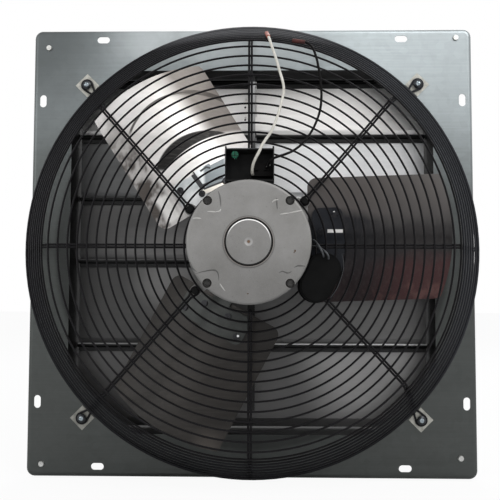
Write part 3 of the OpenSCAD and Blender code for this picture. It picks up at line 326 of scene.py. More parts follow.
def enamel():
    """Black gloss of the guard, worn in spots, with a painted sheen on top and a grey painted sheen
    along its band at the right.
    """
    s = Shade("black_enamel", roughness=0.34, specular=0.1)
    worn = s.span(s.noise(90, 6, 0.7), 0.64, 0.76)
    base = s.ramp(s.noise(40, 4), [(0.3, (0.004, 0.0035, 0.004)), (0.7, (0.009, 0.0085, 0.0095))])
    base = s.film(base, worn, 0.3, (0.025, 0.025, 0.028))
    # Painted sheen on top of the guard
    top_sheen = s.times(s.over(Z, 262, 290), s.over(Y, -80, -70))
    base = s.film(base, top_sheen, 0.8, (0.12, 0.12, 0.125))
    # Grey painted sheen along the band at the right
    band = s.within((0, -4), GUARD_R + 2, GUARD_R + 6, 0, 1)
    band = s.times(band, s.span(s.dot(AXIS, (0.94, 0.34)), 0.12, 0.25, 0.25, 1))
    base = s.film(base, band, 0.55, (0.036, 0.038, 0.044))
    s.colour(base).rough(s.plus(s.times(s.noise(200, 3), 0.2), 0.25))
    return s.bump((s.noise(1400, 3), 0.12, 0.0002)).mat


def cast_metal(name, level, marks=None):
    """Sand-cast aluminium with stains and pits, and painted light brighter towards the top."""
    s = Shade(name, metallic=0.35, roughness=0.52)
    grain = s.noise(1100, 5, 0.7)
    cloud = s.noise(28, 6, 0.6)
    base = s.ramp(cloud, [(0.25, tuple(level * c for c in (0.185, 0.18, 0.17))),
                          (0.55, tuple(level * c for c in (0.235, 0.23, 0.222))),
                          (0.8, tuple(level * c for c in (0.28, 0.275, 0.268)))])
    # Painted light: brighter towards the top, dimmer below
    up = s.over(Z, -70, 75, 0.72, 1.28)
    base = s.dim(base, up)
    stain = s.span(s.noise(55, 5, 0.65), 0.58, 0.72)
    base = s.film(base, stain, 0.22, (0.12, 0.112, 0.1))
    pits = s.span(s.noise(420, 2, 0.5), 0.66, 0.74)
    base = s.film(base, pits, 0.5, (0.09, 0.085, 0.08))
    base = s.mix(s.span(grain, 0.5, 0.75, 0, 0.2), base, (0.4, 0.4, 0.39))
    if marks:
        base = marks(s, base)
    s.colour(base).rough(s.plus(s.times(cloud, 0.25), 0.4))
    return s.bump((grain, 0.3, 0.0003), (pits, 0.25, -0.0003), (cloud, 0.12, 0.0015)).mat


def bell_marks(s, base):
    """Faint rusty halo and a thin dark ring round the bearing cap."""
    halo = s.ring(AXIS, CAP_R + 0.7, 0.7, 1.0)
    thin_dark_ring = s.ring(AXIS, CAP_R + 2.6, 0.3, 0.6)
    return s.film(s.film(base, halo, 0.45, (0.16, 0.125, 0.1)), thin_dark_ring, 0.5, (0.06, 0.056, 0.052))


def cap_marks(s, base):
    """Painted shade round the cap's step, a painted highlight as a bright bow inside it, and a rusty
    centre.
    """
    # A painted highlight: a bright bow on the upper side
    upper = s.span(s.dot(AXIS, (0.1, 1.0)), 0.0, 0.02)
    bow = s.times(s.ring(AXIS, CAP_R - 1.6, 0.35, 0.4), upper)
    base = s.mix(bow, base, (0.95, 0.94, 0.92))
    base = s.film(base, s.ring(AXIS, 3.4, 0.6, 1.4), 0.5, (0.4, 0.39, 0.38))
    base = s.mix(s.within(AXIS, 1.1, 2.2, 1, 0), base, (0.13, 0.075, 0.045))
    # Painted shade round the cap's step
    step = s.within(AXIS, CAP_R - 1.1, CAP_R - 0.9, 0, 1)
    return s.mix(step, base, (0.006, 0.006, 0.006))


# The curl along a slat's top is painted black as shade down to this depth, with a painted highlight
# line this far below the top
CURL_DEPTH, CURL_LINE = 11, 1.6
SLAT_BACK_LEVEL = 0.3


def slat_metal(top, name, edge, left, right, tint, glow=None, metallic=0.6):
    """Mill-finish sheet whose brightness, painted light and shade, runs from left to right.

    The edge is the level of the painted highlight line on the curl, and a glow is a painted highlight,
    given as its place, near and far radius in millimetres, and level.
    """
    s = Shade(name, metallic=metallic, roughness=0.36)
    grain = s.noise(180, 5, 0.65, stretch=(0.03, 1, 1))
    broad = s.noise(14, 4, 0.55, stretch=(0.35, 1, 1.5))
    across = s.plus(s.axis(X), s.sway(broad, 0.25))
    # Painted light and shade, from left to right
    level = s.span(across, -0.24, 0.24, left, right)
    # Painted highlight spots
    if glow:
        at, near, far, value = glow
        off = s.plus(s.away(at), s.sway(broad, 0.04))
        spot = s.span(off, near * MM, far * MM, 1, 0)
        level = s.plus(level, s.times(spot, value))
    base = s.ramp(grain, [(0.3, (0.9, 0.9, 0.9)), (0.7, (1.0, 1.0, 1.0))])
    front = s.facing(Y)
    back = s.times(s.span(front, 0, 1, 1, 0), SLAT_BACK_LEVEL)
    level = s.plus(s.times(level, front), back)
    base = s.dim(base, level, tint)
    # Painted shade: the curl black
    curl = s.over(Z, top - CURL_DEPTH - 0.4, top - CURL_DEPTH + 0.4)
    base = s.mix(curl, base, (0.003, 0.003, 0.003))
    # A painted highlight line on the curl
    line = s.over(Z, top - CURL_LINE - 0.3, top - CURL_LINE + 0.3)
    base = s.mix(line, base, s.mix(s.over(X, -100, 100), (edge * 0.4,) * 3, (edge,) * 3))
    s.colour(base).rough(s.plus(s.times(grain, 0.2), 0.3))
    return s.bump((grain, 0.06, 0.0004), (broad, 0.05, 0.002)).mat


# The sheets' grain lies along the blades, which stand this far off the level
BLADE_LEAN = math.radians(58)


def blade_right():
    """Brown-grey sheet of painted reflection, near black beside the motor, with a painted highlight at
    the tip and a rusty lower edge.
    """
    s = Shade("blade_right", metallic=0.6, roughness=0.34)
    fine = s.noise(300, 4, 0.6, stretch=(1, 1, 0.1))
    wave = s.sway(s.noise(9, 3), 0.05)
    up = s.plus(s.axis(Z), wave)
    out = s.plus(s.axis(X), wave)
    # Bands of painted reflection from the lower edge up, beside the motor and out at the tip
    height = s.span(up, -0.07, 0.09)
    near = s.ramp(height, [(0.0, (0.022, 0.013, 0.014)), (0.5, (0.012, 0.012, 0.014)),
                           (0.79, (0.016, 0.016, 0.019)), (0.87, (0.11, 0.098, 0.093))])
    far = s.ramp(height, [(0.0, (0.06, 0.024, 0.024)), (0.2, (0.062, 0.026, 0.026)),
                          (0.36, (0.028, 0.025, 0.025)), (0.65, (0.04, 0.037, 0.037)),
                          (0.8, (0.085, 0.078, 0.075)), (0.97, (0.115, 0.105, 0.1))])
    base = s.mix(s.span(out, 0.14, 0.205), near, far)
    # A painted highlight at the tip
    tip = s.times(s.over(X, 222, 250), s.over(Z, 30, 80))
    base = s.film(base, tip, 0.4, (0.14, 0.13, 0.128))
    rust = s.span(s.noise(60, 5, 0.6, stretch=(1, 1, 0.4)), 0.5, 0.66)
    rust = s.times(rust, s.span(up, -0.035, -0.055))
    base = s.mix(s.times(rust, s.span(out, 0.13, 0.2, 0.1, 0.6)), base, (0.145, 0.07, 0.063))
    base = s.mix(s.span(fine, 0.45, 0.7, 0, 0.12), base, (0.12, 0.11, 0.105))
    return s.sheet(base, fine, s.noise(12, 3), 0.16)


def blade_upper():
    """Bright sheet of painted reflection, with the guard's rings and the motor painted on it as two
    dark bows.
    """
    s = Shade("blade_upper", metallic=0.5, roughness=0.4, specular=0.3)
    fine = s.noise(300, 4, 0.6, stretch=(0.08, 1, 1), turned=(0, -BLADE_LEAN, 0))
    broad = s.noise(16, 4, 0.55, stretch=(0.5, 1, 1.2), turned=(0, -BLADE_LEAN, 0))
    # The bright painted reflection over the whole sheet
    base = s.ramp(broad, [(0.3, (0.5, 0.48, 0.46)), (0.5, (0.78, 0.75, 0.73)),
                          (0.7, (0.95, 0.93, 0.92))])
    # A darker tan over the upper right side, thinner close to the motor
    tan_start, tan_way = (-130, 225), (0.738, 0.675)
    along = s.span(s.plus(s.dot(tan_start, tan_way), s.sway(broad, 0.02)), -0.014, 0.02)
    thinner = s.within((8, 17), 139, 146, 0.45, 1.0)
    base = s.mix(s.times(along, thinner), base, (0.152, 0.136, 0.124))
    # Brown patches along the left edge, and a painted glint at its foot
    edge_top, edge_foot = (-196, 152), (-108, 26)
    edge = s.stripe(edge_top, edge_foot, 21, 8)
    patch = s.span(s.noise(60, 3, 0.5, stretch=(1, 1, 0.6)), 0.4, 0.56, 0.35, 1.0)
    patch = s.times(patch, s.over(Z, 105, 150, 1, 0.35))
    base = s.mix(s.times(edge, patch), base, (0.09, 0.078, 0.07))
    glint = s.stripe((-112, 60), (-96, 36), 5, 7)
    base = s.film(base, glint, 0.8, (0.95, 0.93, 0.9))
    # The motor as a painted reflection: what one circle leaves of another
    bow_centre, bite_centre = (-49.7, 82.3), (8.3, 16.9)
    thick = s.times(s.within(bow_centre, 71, 73, 1, 0), s.within(bite_centre, 141, 142.5, 0, 1))
    base = s.mix(s.times(thick, s.over(Z, 92, 100)), base, (0.012, 0.011, 0.01))
    # A ring of the guard as a painted reflection, thicker towards the right
    ring_centre, ring_r = (-70.2, 119.2), 87
    thin = s.times(s.ring(ring_centre, ring_r, 2.6, 1.4), s.over(X, -115, -70))
    thin = s.math("MAXIMUM", thin, s.ring(ring_centre, ring_r, 0.9, 1.2))
    upper = s.times(s.over(Z, 138, 150), s.over(X, -30, -10, 1, 0))
    base = s.mix(s.times(thin, s.times(upper, 0.92)), base, (0.05, 0.043, 0.038))
    base = s.mix(s.span(fine, 0.45, 0.7, 0, 0.07), base, (0.4, 0.38, 0.36))
    return s.sheet(base, fine, broad)


def blade_lower():
    """Dark sheet of painted reflection, with a lighter tip as a painted highlight."""
    s = Shade("blade_lower", metallic=0.6, roughness=0.34)
    fine = s.noise(300, 4, 0.6, stretch=(0.08, 1, 1), turned=(0, BLADE_LEAN, 0))
    broad = s.noise(9, 3, 0.5)
    base = s.ramp(broad, [(0.3, (0.018, 0.0165, 0.015)), (0.7, (0.036, 0.032, 0.029))])
    # A painted highlight at the tip
    tip_corner = (-52, -246)
    tip = s.span(s.plus(s.away(tip_corner), s.times(broad, 0.02)), 0.01, 0.04, 1, 0)
    base = s.film(base, tip, 0.7, (0.085, 0.074, 0.065))
    base = s.mix(s.span(fine, 0.45, 0.7, 0, 0.12), base, (0.1, 0.09, 0.08))
    return s.sheet(base, fine, broad)


def spider_metal():
    """Zinc-plated sheet in painted reflection: the upper arm bright, the other two dark."""
    s = Shade("spider_zinc", metallic=0.6, roughness=0.35)
    soft = s.noise(30, 4, 0.55)
    bright = s.ramp(soft, [(0.3, (0.42, 0.45, 0.46)), (0.6, (0.85, 0.86, 0.86))])
    # Painted light and shade on the upper arm: a grey fold in shade, a tan highlight bar and five dark
    # lines of shade
    grey = s.stripe((-44, 70), (-48, 122), 11, 5)
    bright = s.film(bright, grey, 0.95, (0.14, 0.16, 0.17))
    bright = s.mix(s.stripe((-60, 70), (-33, 82.5), 3.0, 1.0), bright, (0.72, 0.68, 0.61))
    dark_lines = (((-76.5, 97), (-60, 74), 2.6), ((-64, 97.2), (-57, 103), 0.9),
                  ((-57, 103), (-52, 102), 0.9), ((-59, 74), (-34, 85.5), 0.8),
                  ((-61, 79), (-36, 90.5), 0.7))
    for start, end, half in dark_lines:
        bright = s.mix(s.stripe(start, end, half, 0.8), bright, (0.035, 0.036, 0.038))
    # Painted dark reflection on the right arm, with a painted glint
    dark = s.ramp(soft, [(0.3, (0.008, 0.009, 0.012)), (0.7, (0.022, 0.024, 0.03))])
    glint = s.stripe((97.5, 20.5), (120.5, 20.5), 1.6, 1.0)
    dark = s.mix(glint, dark, (0.95, 0.93, 0.9))
    # Painted dark reflection on the lower arm
    green = s.ramp(soft, [(0.3, (0.018, 0.02, 0.019)), (0.7, (0.055, 0.058, 0.055))])
    left_arms = s.mix(s.over(Z, -20, 20), green, bright)
    base = s.mix(s.over(X, 0, 20), left_arms, dark)
    fine = s.noise(320, 3, 0.6, stretch=(1, 1, 0.1))
    s.colour(base).rough(s.plus(s.times(soft, 0.2), 0.24))
    return s.bump((fine, 0.04, 0.0003)).mat


def rivet_metal():
    """Dark steel heads, three of which have a painted glint."""
    s = Shade("rivet_steel", metallic=0.8, roughness=0.35)
    grain = s.noise(240, 4)
    dark = s.ramp(grain, [(0.3, (0.012, 0.012, 0.014)), (0.7, (0.04, 0.04, 0.043))])
    # Painted glints on three heads
    right = s.within((104.6, 44.6), 0.9, 1.4, 1, 0)
    left = s.within((-77, -73), 0.9, 1.4, 1, 0)
    low = s.within((-15, -111), 1, 1.8, 1, 0)
    glint = s.math("MAXIMUM", right, s.math("MAXIMUM", left, low))
    dark = s.mix(glint, dark, (0.85, 0.85, 0.85))
    s.colour(dark).rough(s.span(grain, 0.3, 0.7, 0.25, 0.45))
    return s.bump((s.noise(900, 2), 0.1, 0.0002)).mat


def screw_metal():
    """Bluish plated head, dark round its edge."""
    s = Shade("screw_zinc", metallic=0.8, roughness=0.3)
    grain = s.noise(400, 4)
    near = None
    for x in (-SCREW_AT, SCREW_AT):
        for z in (-SCREW_AT, SCREW_AT):
            d = s.away((x, z))
            near = d if near is None else s.math("MINIMUM", near, d)
    bright = s.ramp(grain, [(0.3, (0.24, 0.28, 0.31)), (0.7, (0.52, 0.58, 0.61))])
    rim = s.span(near, 0.0022, 0.0034)
    s.colour(s.mix(rim, bright, (0.035, 0.037, 0.04))).rough(s.span(grain, 0.3, 0.7, 0.25, 0.45))
    return s.bump((s.noise(1500, 2), 0.1, 0.0002)).mat


def pad_metal():
    """Yellowish plate, dimmer at the lower left."""
    s = Shade("pad_zinc", metallic=0.35, roughness=0.5)
    grain = s.noise(180, 5)
    base = s.ramp(grain, [(0.3, (0.27, 0.265, 0.235)), (0.7, (0.52, 0.51, 0.46))])
    side = s.over(X, -200, 200, 0.62, 0.9)
    level = s.math("MAXIMUM", side, s.over(Z, -200, 200))
    s.colour(s.dim(base, level)).rough(s.span(grain, 0.3, 0.7, 0.35, 0.6))
    return s.bump((s.noise(1500, 2), 0.1, 0.0002)).mat


def bar_metal():
    """Drawn bar, bright in its upper stretch and painted black as shade elsewhere."""
    s = Shade("tie_bar_sheet", metallic=0.6, roughness=0.4)
    grain = s.noise(160, 4, stretch=(1, 1, 0.1))
    base = s.ramp(grain, [(0.3, (0.3, 0.3, 0.3)), (0.7, (0.5, 0.5, 0.5))])
    # Painted shade: black below its upper stretch and above it, beside the top slat's curl
    low = s.math("MAXIMUM", s.over(Z, 130, 190, 1, 0), s.over(Z, 231, 235))
    s.colour(s.mix(low, base, (0.018, 0.018, 0.018))).rough(s.span(grain, 0.3, 0.7, 0.35, 0.55))
    return s.bump((grain, 0.05, 0.0002)).mat


def plain(name, low, high, metallic=0.0, rough=(0.3, 0.5), scale=120, bump=0.1, specular=0.5):
    """One colour that wanders between low and high, with a fine grain."""
    s = Shade(name, metallic=metallic, specular=specular)
    grain = s.noise(scale, 5, 0.6)
    s.colour(s.ramp(grain, [(0.3, low), (0.7, high)]))
    s.rough(s.span(grain, 0.3, 0.7, rough[0], rough[1]))
    return s.bump((s.noise(scale * 9, 3), bump, 0.0002)).mat


def laminated():
    """Stacked steel sheets."""
    s = Shade("core_steel", metallic=0.8, roughness=0.45)
    wave = s.node("ShaderNodeTexWave", wave_type="BANDS", bands_direction="Y")
    s.put(wave.inputs["Vector"], s.place)
    wave.inputs["Scale"].default_value = 300
    s.colour(s.ramp(wave.outputs[0], [(0.2, (0.1, 0.1, 0.11)), (0.8, (0.4, 0.4, 0.42))]))
    return s.bump((wave.outputs[0], 0.3, 0.0003)).mat


def copper():
    """Wound copper wire."""
    s = Shade("copper_winding", metallic=0.7, roughness=0.4)
    wave = s.node("ShaderNodeTexWave", wave_type="RINGS", rings_direction="Y")
    s.put(wave.inputs["Vector"], s.place)
    wave.inputs["Scale"].default_value = 160
    wave.inputs["Distortion"].default_value = 3
    s.colour(s.ramp(wave.outputs[0], [(0.2, (0.2, 0.07, 0.03)), (0.8, (0.6, 0.28, 0.12))]))
    return s.bump((wave.outputs[0], 0.5, 0.0006)).mat


# One look for each slat, from the top down, with its painted light and shade
SLAT_LOOKS = (
    dict(name="slat_top", edge=0.01, left=0.92, right=1.0, tint=(1.0, 0.98, 0.96), metallic=0.88),
    dict(name="slat_second", edge=0.12, left=0.11, right=0.9, tint=(0.98, 0.985, 0.99),
         glow=((62, 115), 40, 105, 0.32)),
    dict(name="slat_third", edge=0.4, left=0.09, right=0.6, tint=(1.0, 0.98, 0.97)),
    dict(name="slat_fourth", edge=0.5, left=0.07, right=0.15, tint=(1.0, 0.985, 0.97),
         glow=((-112, -40), 15, 75, 0.12)),
    dict(name="slat_fifth", edge=0.95, left=0.12, right=0.1, tint=(1.0, 0.98, 0.97),
         glow=((165, -165), 30, 120, 0.2)),
)
MATERIALS = {
    "galvanised": galvanised(),
    "frame_sheet": frame_sheet(),
    "enamel": enamel(),
    "cast": cast_metal("cast_aluminium", 1.0, bell_marks),
    "blade_1": blade_right(),
    "blade_2": blade_upper(),
    "blade_3": blade_lower(),
    "spider": spider_metal(),
    # Near black, for painted shade in grooves, recesses and slots
    "groove": plain("groove_shade", (0.004, 0.0035, 0.003), (0.014, 0.012, 0.011),
                    rough=(0.6, 0.8), scale=300, bump=0.3, specular=0.15),
    "cap": cast_metal("cast_cap", 0.9, cap_marks),
    # Lighter and darker copies of the cast metal, as painted highlight and painted shade on the bell's
    # relief
    "relief": cast_metal("cast_relief_highlight", 1.25),
    "flank": cast_metal("cast_shadow_side", 0.45),
    "glow_metal": cast_metal("cast_highlight", 1.9),
    "stain": plain("oil_stain", (0.03, 0.014, 0.006), (0.09, 0.045, 0.02),
                   rough=(0.5, 0.7), scale=500, bump=0.2, specular=0.3),
    "zinc": plain("zinc_plate", (0.38, 0.38, 0.36), (0.66, 0.66, 0.64),
                  metallic=0.85, rough=(0.25, 0.45), scale=260),
    "pad": pad_metal(),
    "rivet": rivet_metal(),
    "screw": screw_metal(),
    "bar": bar_metal(),
    "bolt": plain("blackened_bolt", (0.003, 0.003, 0.003), (0.009, 0.009, 0.009),
                  rough=(0.4, 0.6), scale=300, specular=0.08),
    "glint": plain("bright_edge", (0.6, 0.6, 0.58), (0.95, 0.94, 0.92),
                   metallic=0.5, rough=(0.2, 0.35), scale=300),
    "dark_steel": plain("dark_steel", (0.012, 0.012, 0.012), (0.05, 0.048, 0.045),
                        metallic=0.6, rough=(0.35, 0.55), scale=300),
    "bearing": plain("bearing_steel", (0.4, 0.4, 0.4), (0.62, 0.62, 0.62),
                     metallic=1.0, rough=(0.15, 0.3), scale=200),
    "shell": plain("black_steel", (0.006, 0.006, 0.007), (0.014, 0.014, 0.015),
                   metallic=0.1, rough=(0.35, 0.5), scale=90, specular=0.25),
    "box": plain("black_box", (0.004, 0.004, 0.004), (0.01, 0.01, 0.01),
                 metallic=0.05, rough=(0.45, 0.65), scale=150, specular=0.2),
    "block": plain("block_plastic", (0.003, 0.003, 0.003), (0.008, 0.007, 0.007),
                   rough=(0.45, 0.65), scale=200, specular=0.08),
    "green": plain("green_lacquer", (0.003, 0.05, 0.028), (0.012, 0.2, 0.11),
                   metallic=0.3, rough=(0.2, 0.4), scale=420),
    "white_wire": plain("white_insulation", (0.46, 0.44, 0.39), (0.68, 0.66, 0.6),
                        scale=160),
    "black_wire": plain("black_insulation", (0.003, 0.003, 0.003), (0.008, 0.007, 0.007),
                        rough=(0.4, 0.55), scale=160, specular=0.06),
    "orange": plain("orange_plastic", (0.2, 0.03, 0.015), (0.36, 0.08, 0.04),
                    rough=(0.35, 0.55), scale=200, specular=0.3),
    "dull_red": plain("dull_red_plastic", (0.03, 0.008, 0.007), (0.08, 0.02, 0.016),
                      rough=(0.4, 0.6), scale=200, specular=0.3),
    "can": plain("capacitor_black", (0.002, 0.002, 0.002), (0.005, 0.005, 0.005),
                 rough=(0.5, 0.65), scale=60, specular=0.06),
    "grey_wire": plain("grey_insulation", (0.025, 0.027, 0.03), (0.08, 0.085, 0.09),
                       rough=(0.35, 0.5), scale=160, specular=0.3),
    "nylon": plain("black_nylon", (0.01, 0.01, 0.01), (0.03, 0.03, 0.03),
                   rough=(0.4, 0.55), scale=220, specular=0.2),
    # Near black, under the slats' curls, standing in for shade there
    "seal": plain("curl_shade_foam", (0.006, 0.006, 0.006), (0.02, 0.02, 0.02),
                  rough=(0.7, 0.9), scale=900, bump=0.5),
    "core": laminated(),
    "copper": copper(),
}
for number, top, look in zip(SLATS, SLAT_TOPS, SLAT_LOOKS):
    MATERIALS["slat_%d" % number] = slat_metal(top, **look)

# The material of each CAD node: its own, or else that of its slot
BY_SLOT = {
    "galvanised_sheet": "galvanised", "black_enamel": "enamel", "cast_aluminium": "cast",
    "nylon": "nylon", "zinc_plate": "zinc", "pad_zinc": "pad", "black_steel": "shell",
    "dark_steel": "dark_steel", "bearing_steel": "bearing", "core_steel": "core",
    "copper_winding": "copper", "black_box": "box", "block_plastic": "block",
    "green_lacquer": "green", "white_insulation": "white_wire", "black_insulation": "black_wire",
    "orange_plastic": "orange", "capacitor_black": "can", "grey_insulation": "grey_wire",
}
OWN = {
    "tie_bar": "bar", "blade_rivets": "rivet", "guard_screws": "screw", "motor_mount_bolts": "bolt",
    "motor_mount_nuts": "bolt", "terminal_box_screws": "bolt", "capacitor_strap": "can",
    "bearing_cap": "cap", "black_lead_connector": "dull_red",
}
for number in SLATS:
    OWN["slat_bracket_%d" % number] = "slat_%d" % number


def material_key(name, slot):
    if name.startswith("shutter_frame"):
        return "frame_sheet"
    return name if name in MATERIALS else OWN.get(name) or BY_SLOT[slot]


def paint_nodes():
    """Gives each CAD node its material and changes nothing else on it."""
    for part in frame["record"]["subparts"]:
        materials = nodes[part["node"]].data.materials
        materials.clear()
        materials.append(MATERIALS[material_key(part["node"], part["material_slot"])])


def add(name, verts, faces, material, body, slot, smooth=60):
    """Makes one piece from vertices in millimetres, smoothed where it bends by fewer degrees."""
    mesh = bpy.data.meshes.new(name)
    mesh.from_pydata([Vector(v) * MM for v in verts], [], faces)
    bm = bmesh.new()
    bm.from_mesh(mesh)
    bmesh.ops.recalc_face_normals(bm, faces=bm.faces)
    bm.to_mesh(mesh)
    bm.free()
    if smooth is not None:
        mesh.shade_smooth()
        mesh.set_sharp_from_angle(angle=math.radians(smooth))
    mesh.materials.append(MATERIALS[material])
    ob = bpy.data.objects.new(name, mesh)
    bpy.context.scene.collection.objects.link(ob)
    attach(ob, body)
    return ob


class Build:
    """Collects the vertices and faces of one piece, in millimetres."""

    def __init__(self):
        self.verts, self.faces = [], []

    def put(self, verts, faces):
        n = len(self.verts)
        self.verts += [Vector(p) for p in verts]
        self.faces += [[i + n for i in f] for f in faces]

    def box(self, low, high, bevel=0.0):
        (a, b, c), (d, e, f) = low, high
        if bevel:
            bm = bmesh.new()
            bmesh.ops.create_cube(bm, size=1)
            for v in bm.verts:
                x, y, z = v.co
                v.co = Vector((a if x < 0 else d, b if y < 0 else e, c if z < 0 else f))
            bmesh.ops.bevel(bm, geom=bm.edges[:], offset=bevel, segments=2, affect="EDGES")
            self.put([v.co.copy() for v in bm.verts], [[v.index for v in fc.verts] for fc in bm.faces])
            bm.free()
            return
        corners = [(x, y, z) for x in (a, d) for y in (b, e) for z in (c, f)]
        self.put(corners, [[0, 1, 3, 2], [4, 6, 7, 5], [0, 4, 5, 1], [2, 3, 7, 6], [0, 2, 6, 4],
                           [1, 5, 7, 3]])

    def tube(self, pts, r, sides, closed=False):
        """A round tube along points, with one radius or one for each point."""
        pts = [Vector(p) for p in pts]
        radii = r if isinstance(r, (list, tuple)) else [r] * len(pts)
        n, side, vs, fs = len(pts), None, [], []
        for k, p in enumerate(pts):
            a = pts[(k - 1) % n] if closed else pts[max(k - 1, 0)]
            b = pts[(k + 1) % n] if closed else pts[min(k + 1, n - 1)]
            d = (b - a).normalized()
            if side is None:
                side = d.cross(Vector((0, 0, 1)) if abs(d.z) < 0.9 else Vector((1, 0, 0))).normalized()
            side = (side - d * side.dot(d)).normalized()
            up = d.cross(side)
            for s in range(sides):
                t = 2 * math.pi * s / sides
                vs.append(p + radii[k] * (math.cos(t) * side + math.sin(t) * up))
        for k in range(n if closed else n - 1):
            for s in range(sides):
                q, w = k * sides, ((k + 1) % n) * sides
                fs.append([q + s, w + s, w + (s + 1) % sides, q + (s + 1) % sides])
        if not closed:
            fs += [list(range(sides)), list(range((n - 1) * sides, n * sides))]
        self.put(vs, fs)

    def lathe(self, profile, steps, centre=AXIS):
        """Turns a profile of (radius, along) about a line along Y through the centre."""
        x, z = centre
        vs, fs, n = [], [], len(profile)
        for k in range(steps):
            t = 2 * math.pi * k / steps
            vs += [(x + r * math.cos(t), y, z + r * math.sin(t)) for r, y in profile]
        for k in range(steps):
            for i in range(n - 1):
                a, b = k * n, ((k + 1) % steps) * n
                fs.append([a + i, b + i, b + i + 1, a + i + 1])
        self.put(vs, fs)

    def blob(self, at, r):
        """A small bead with a radius for each axis."""
        bm = bmesh.new()
        bmesh.ops.create_icosphere(bm, subdivisions=1, radius=1)
        x, y, z = at
        vs = [(x + v.co.x * r[0], y + v.co.y * r[1], z + v.co.z * r[2]) for v in bm.verts]
        self.put(vs, [[v.index for v in f.verts] for f in bm.faces])
        bm.free()

    def make(self, name, *args, **kw):
        return add(name, self.verts, self.faces, *args, **kw)


def smooth_route(pts, per=5):
    """A Catmull-Rom curve through the points."""
    p = [Vector(q) for q in pts]
    p = [p[0] * 2 - p[1], *p, p[-1] * 2 - p[-2]]
    out = []
    for k in range(1, len(p) - 2):
        a, b, c, d = p[k - 1], p[k], p[k + 1], p[k + 2]
        for j in range(per):
            t = j / per
            out.append(0.5 * ((2 * b) + (c - a) * t + (2 * a - 5 * b + 4 * c - d) * t * t
                              + (3 * b - a - 3 * c + d) * t ** 3))
    out.append(p[-2])
    return out


# Free leads, by the same points as in the part's source
WHITE = [(4, -133.5, 80), (3.5, -137.5, 80.5), (3.5, -142, 85), (5, -146, 91), (8, -150, 97),
         (11.5, -152.5, 103), (14.5, -152.5, 110), (17.5, -147, 116), (20, -139, 121.5),
         (22.5, -129, 127), (25, -119, 133), (27.5, -110, 140), (30, -102, 147.5), (32.5, -96, 155.5),
         (35, -92, 164), (37.5, -89.5, 173), (39.5, -88.5, 182), (41, -88.3, 190), (41, -88.3, 198),
         (39, -88.3, 207), (36, -88.3, 217), (33, -88.3, 228), (29.5, -88.3, 239), (26, -88, 249),
         (24, -86.5, 256), (22.5, -83.5, 261.5)]
BLACK = [(20, -134, 88), (21.5, -140, 89), (22.5, -146.5, 90.5), (24, -151.5, 92.5), (28, -154.3, 95),
         (33, -151.5, 97.5), (38, -144, 100.5), (44, -134, 104.5), (50.5, -123, 109.5),
         (57, -111.5, 116), (63, -103, 122.5), (69, -96, 130.5), (75, -91, 140), (80, -88.6, 150),
         (84, -88, 160.5), (86.5, -88, 171), (87.5, -88, 182), (87.5, -88, 193.5), (86.5, -88, 205),
         (85, -88, 216), (83, -88, 227), (80.5, -87.8, 237), (77.5, -86.5, 245), (73.5, -84.5, 251),
         (68, -83.5, 254.5)]
CAN_LEADS = [
    [(70.6, -127, 3), (71.5, -133, 4), (74, -141, 3), (76.5, -147.5, 0), (79, -152.5, -4.5),
     (81.5, -155, -9.5), (83.3, -154.5, -14), (84, -150.6, -16.5)],
    [(70.6, -127, -3.5), (73.5, -134, -3.5), (77, -141, -4), (80.5, -147.5, -6), (84, -152.5, -8.8),
     (87, -155, -12), (89.2, -154.3, -15.8), (89.5, -150.6, -18.5)]]


def lead(name, route, d, material, slot):
    """A free lead of thickness d that ends in a connector."""
    line = smooth_route(route)
    piece = Build()
    piece.tube(line, d / 2, 12)
    ob = piece.make(name, material, "frame", slot)
    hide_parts(name.replace("_wire", ""))


def capacitor_leads():
    """The pair of thin leads from the motor's shell to the capacitor."""
    for i, route in enumerate(CAN_LEADS):
        line = smooth_route(route)
        piece = Build()
        piece.tube(line, 1.1, 10)
        ob = piece.make("capacitor_lead_%d" % (i + 1), "grey_wire", "frame", "grey_insulation")
        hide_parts("capacitor_leads")


# Slats: where the curls' centres lie, and half a slat's length
PIVOT_Y, CURL_R, SLAT_HALF = 44.0, 3.2, 243


def slat_seals():
    """A dark foam strip inside each slat's curl, where it stands in for shade."""
    for number, top in zip(SLATS, SLAT_TOPS):
        z = top - CURL_R
        piece = Build()
        piece.box((-SLAT_HALF, PIVOT_Y - 0.4, z - 8.6), (SLAT_HALF, PIVOT_Y + 2.35, z - 1.2), bevel=0.5)
        piece.make("slat_%d_seal" % number, "seal", "louvre_%d" % number, "black_box", smooth=40)


def bracket_rivets():
    """Two rivet heads on each slat bracket's foot."""
    for number, top in zip(SLATS, SLAT_TOPS):
        bracket = nodes["slat_bracket_%d" % number]
        foot = min(v.co.y for v in bracket.data.vertices if v.co.x < -0.012) / MM
        piece = Build()
        for below in (39, 57):
            piece.blob((-9.8, foot, top - below), (1.7, 0.8, 1.7))
        piece.make("bracket_rivets_%d" % number, "dark_steel", "louvre_%d" % number, "dark_steel")


# The guard: face rings from the rim inwards, side rings from the shoulder to the base ring, and eight
# ribs of doubled wire. The diagonal ribs lean by some degrees and end in eyes at the motor.
WIRE_R, RIB_GAP, RIB_STEP = 1.25, 3.3, 45
FACE_RINGS, FACE_RING_R, FACE_RING_STEP, FACE_RING_Y = 15, 249, 12, -85.0
SIDE_RINGS, SIDE_RING_R, SIDE_RING_Y = 7, 259, -79
SIDE_WIDE, SIDE_DEEP, SIDE_INWARD = 41, 67, (-0.853, 0.522)
BASE_R, LOOP_R, INNER_R, EYE_R = 300, 318.2, 60, 87
LEAN = {1: 0.9, 3: 2.0, 5: 0.4, 7: 3.0}
MOUNT = {1: 39.5, 3: 148.5, 5: 219.5, 7: 328.5}


def polar(r, degrees):
    return Vector((r * math.cos(math.radians(degrees)), r * math.sin(math.radians(degrees))))


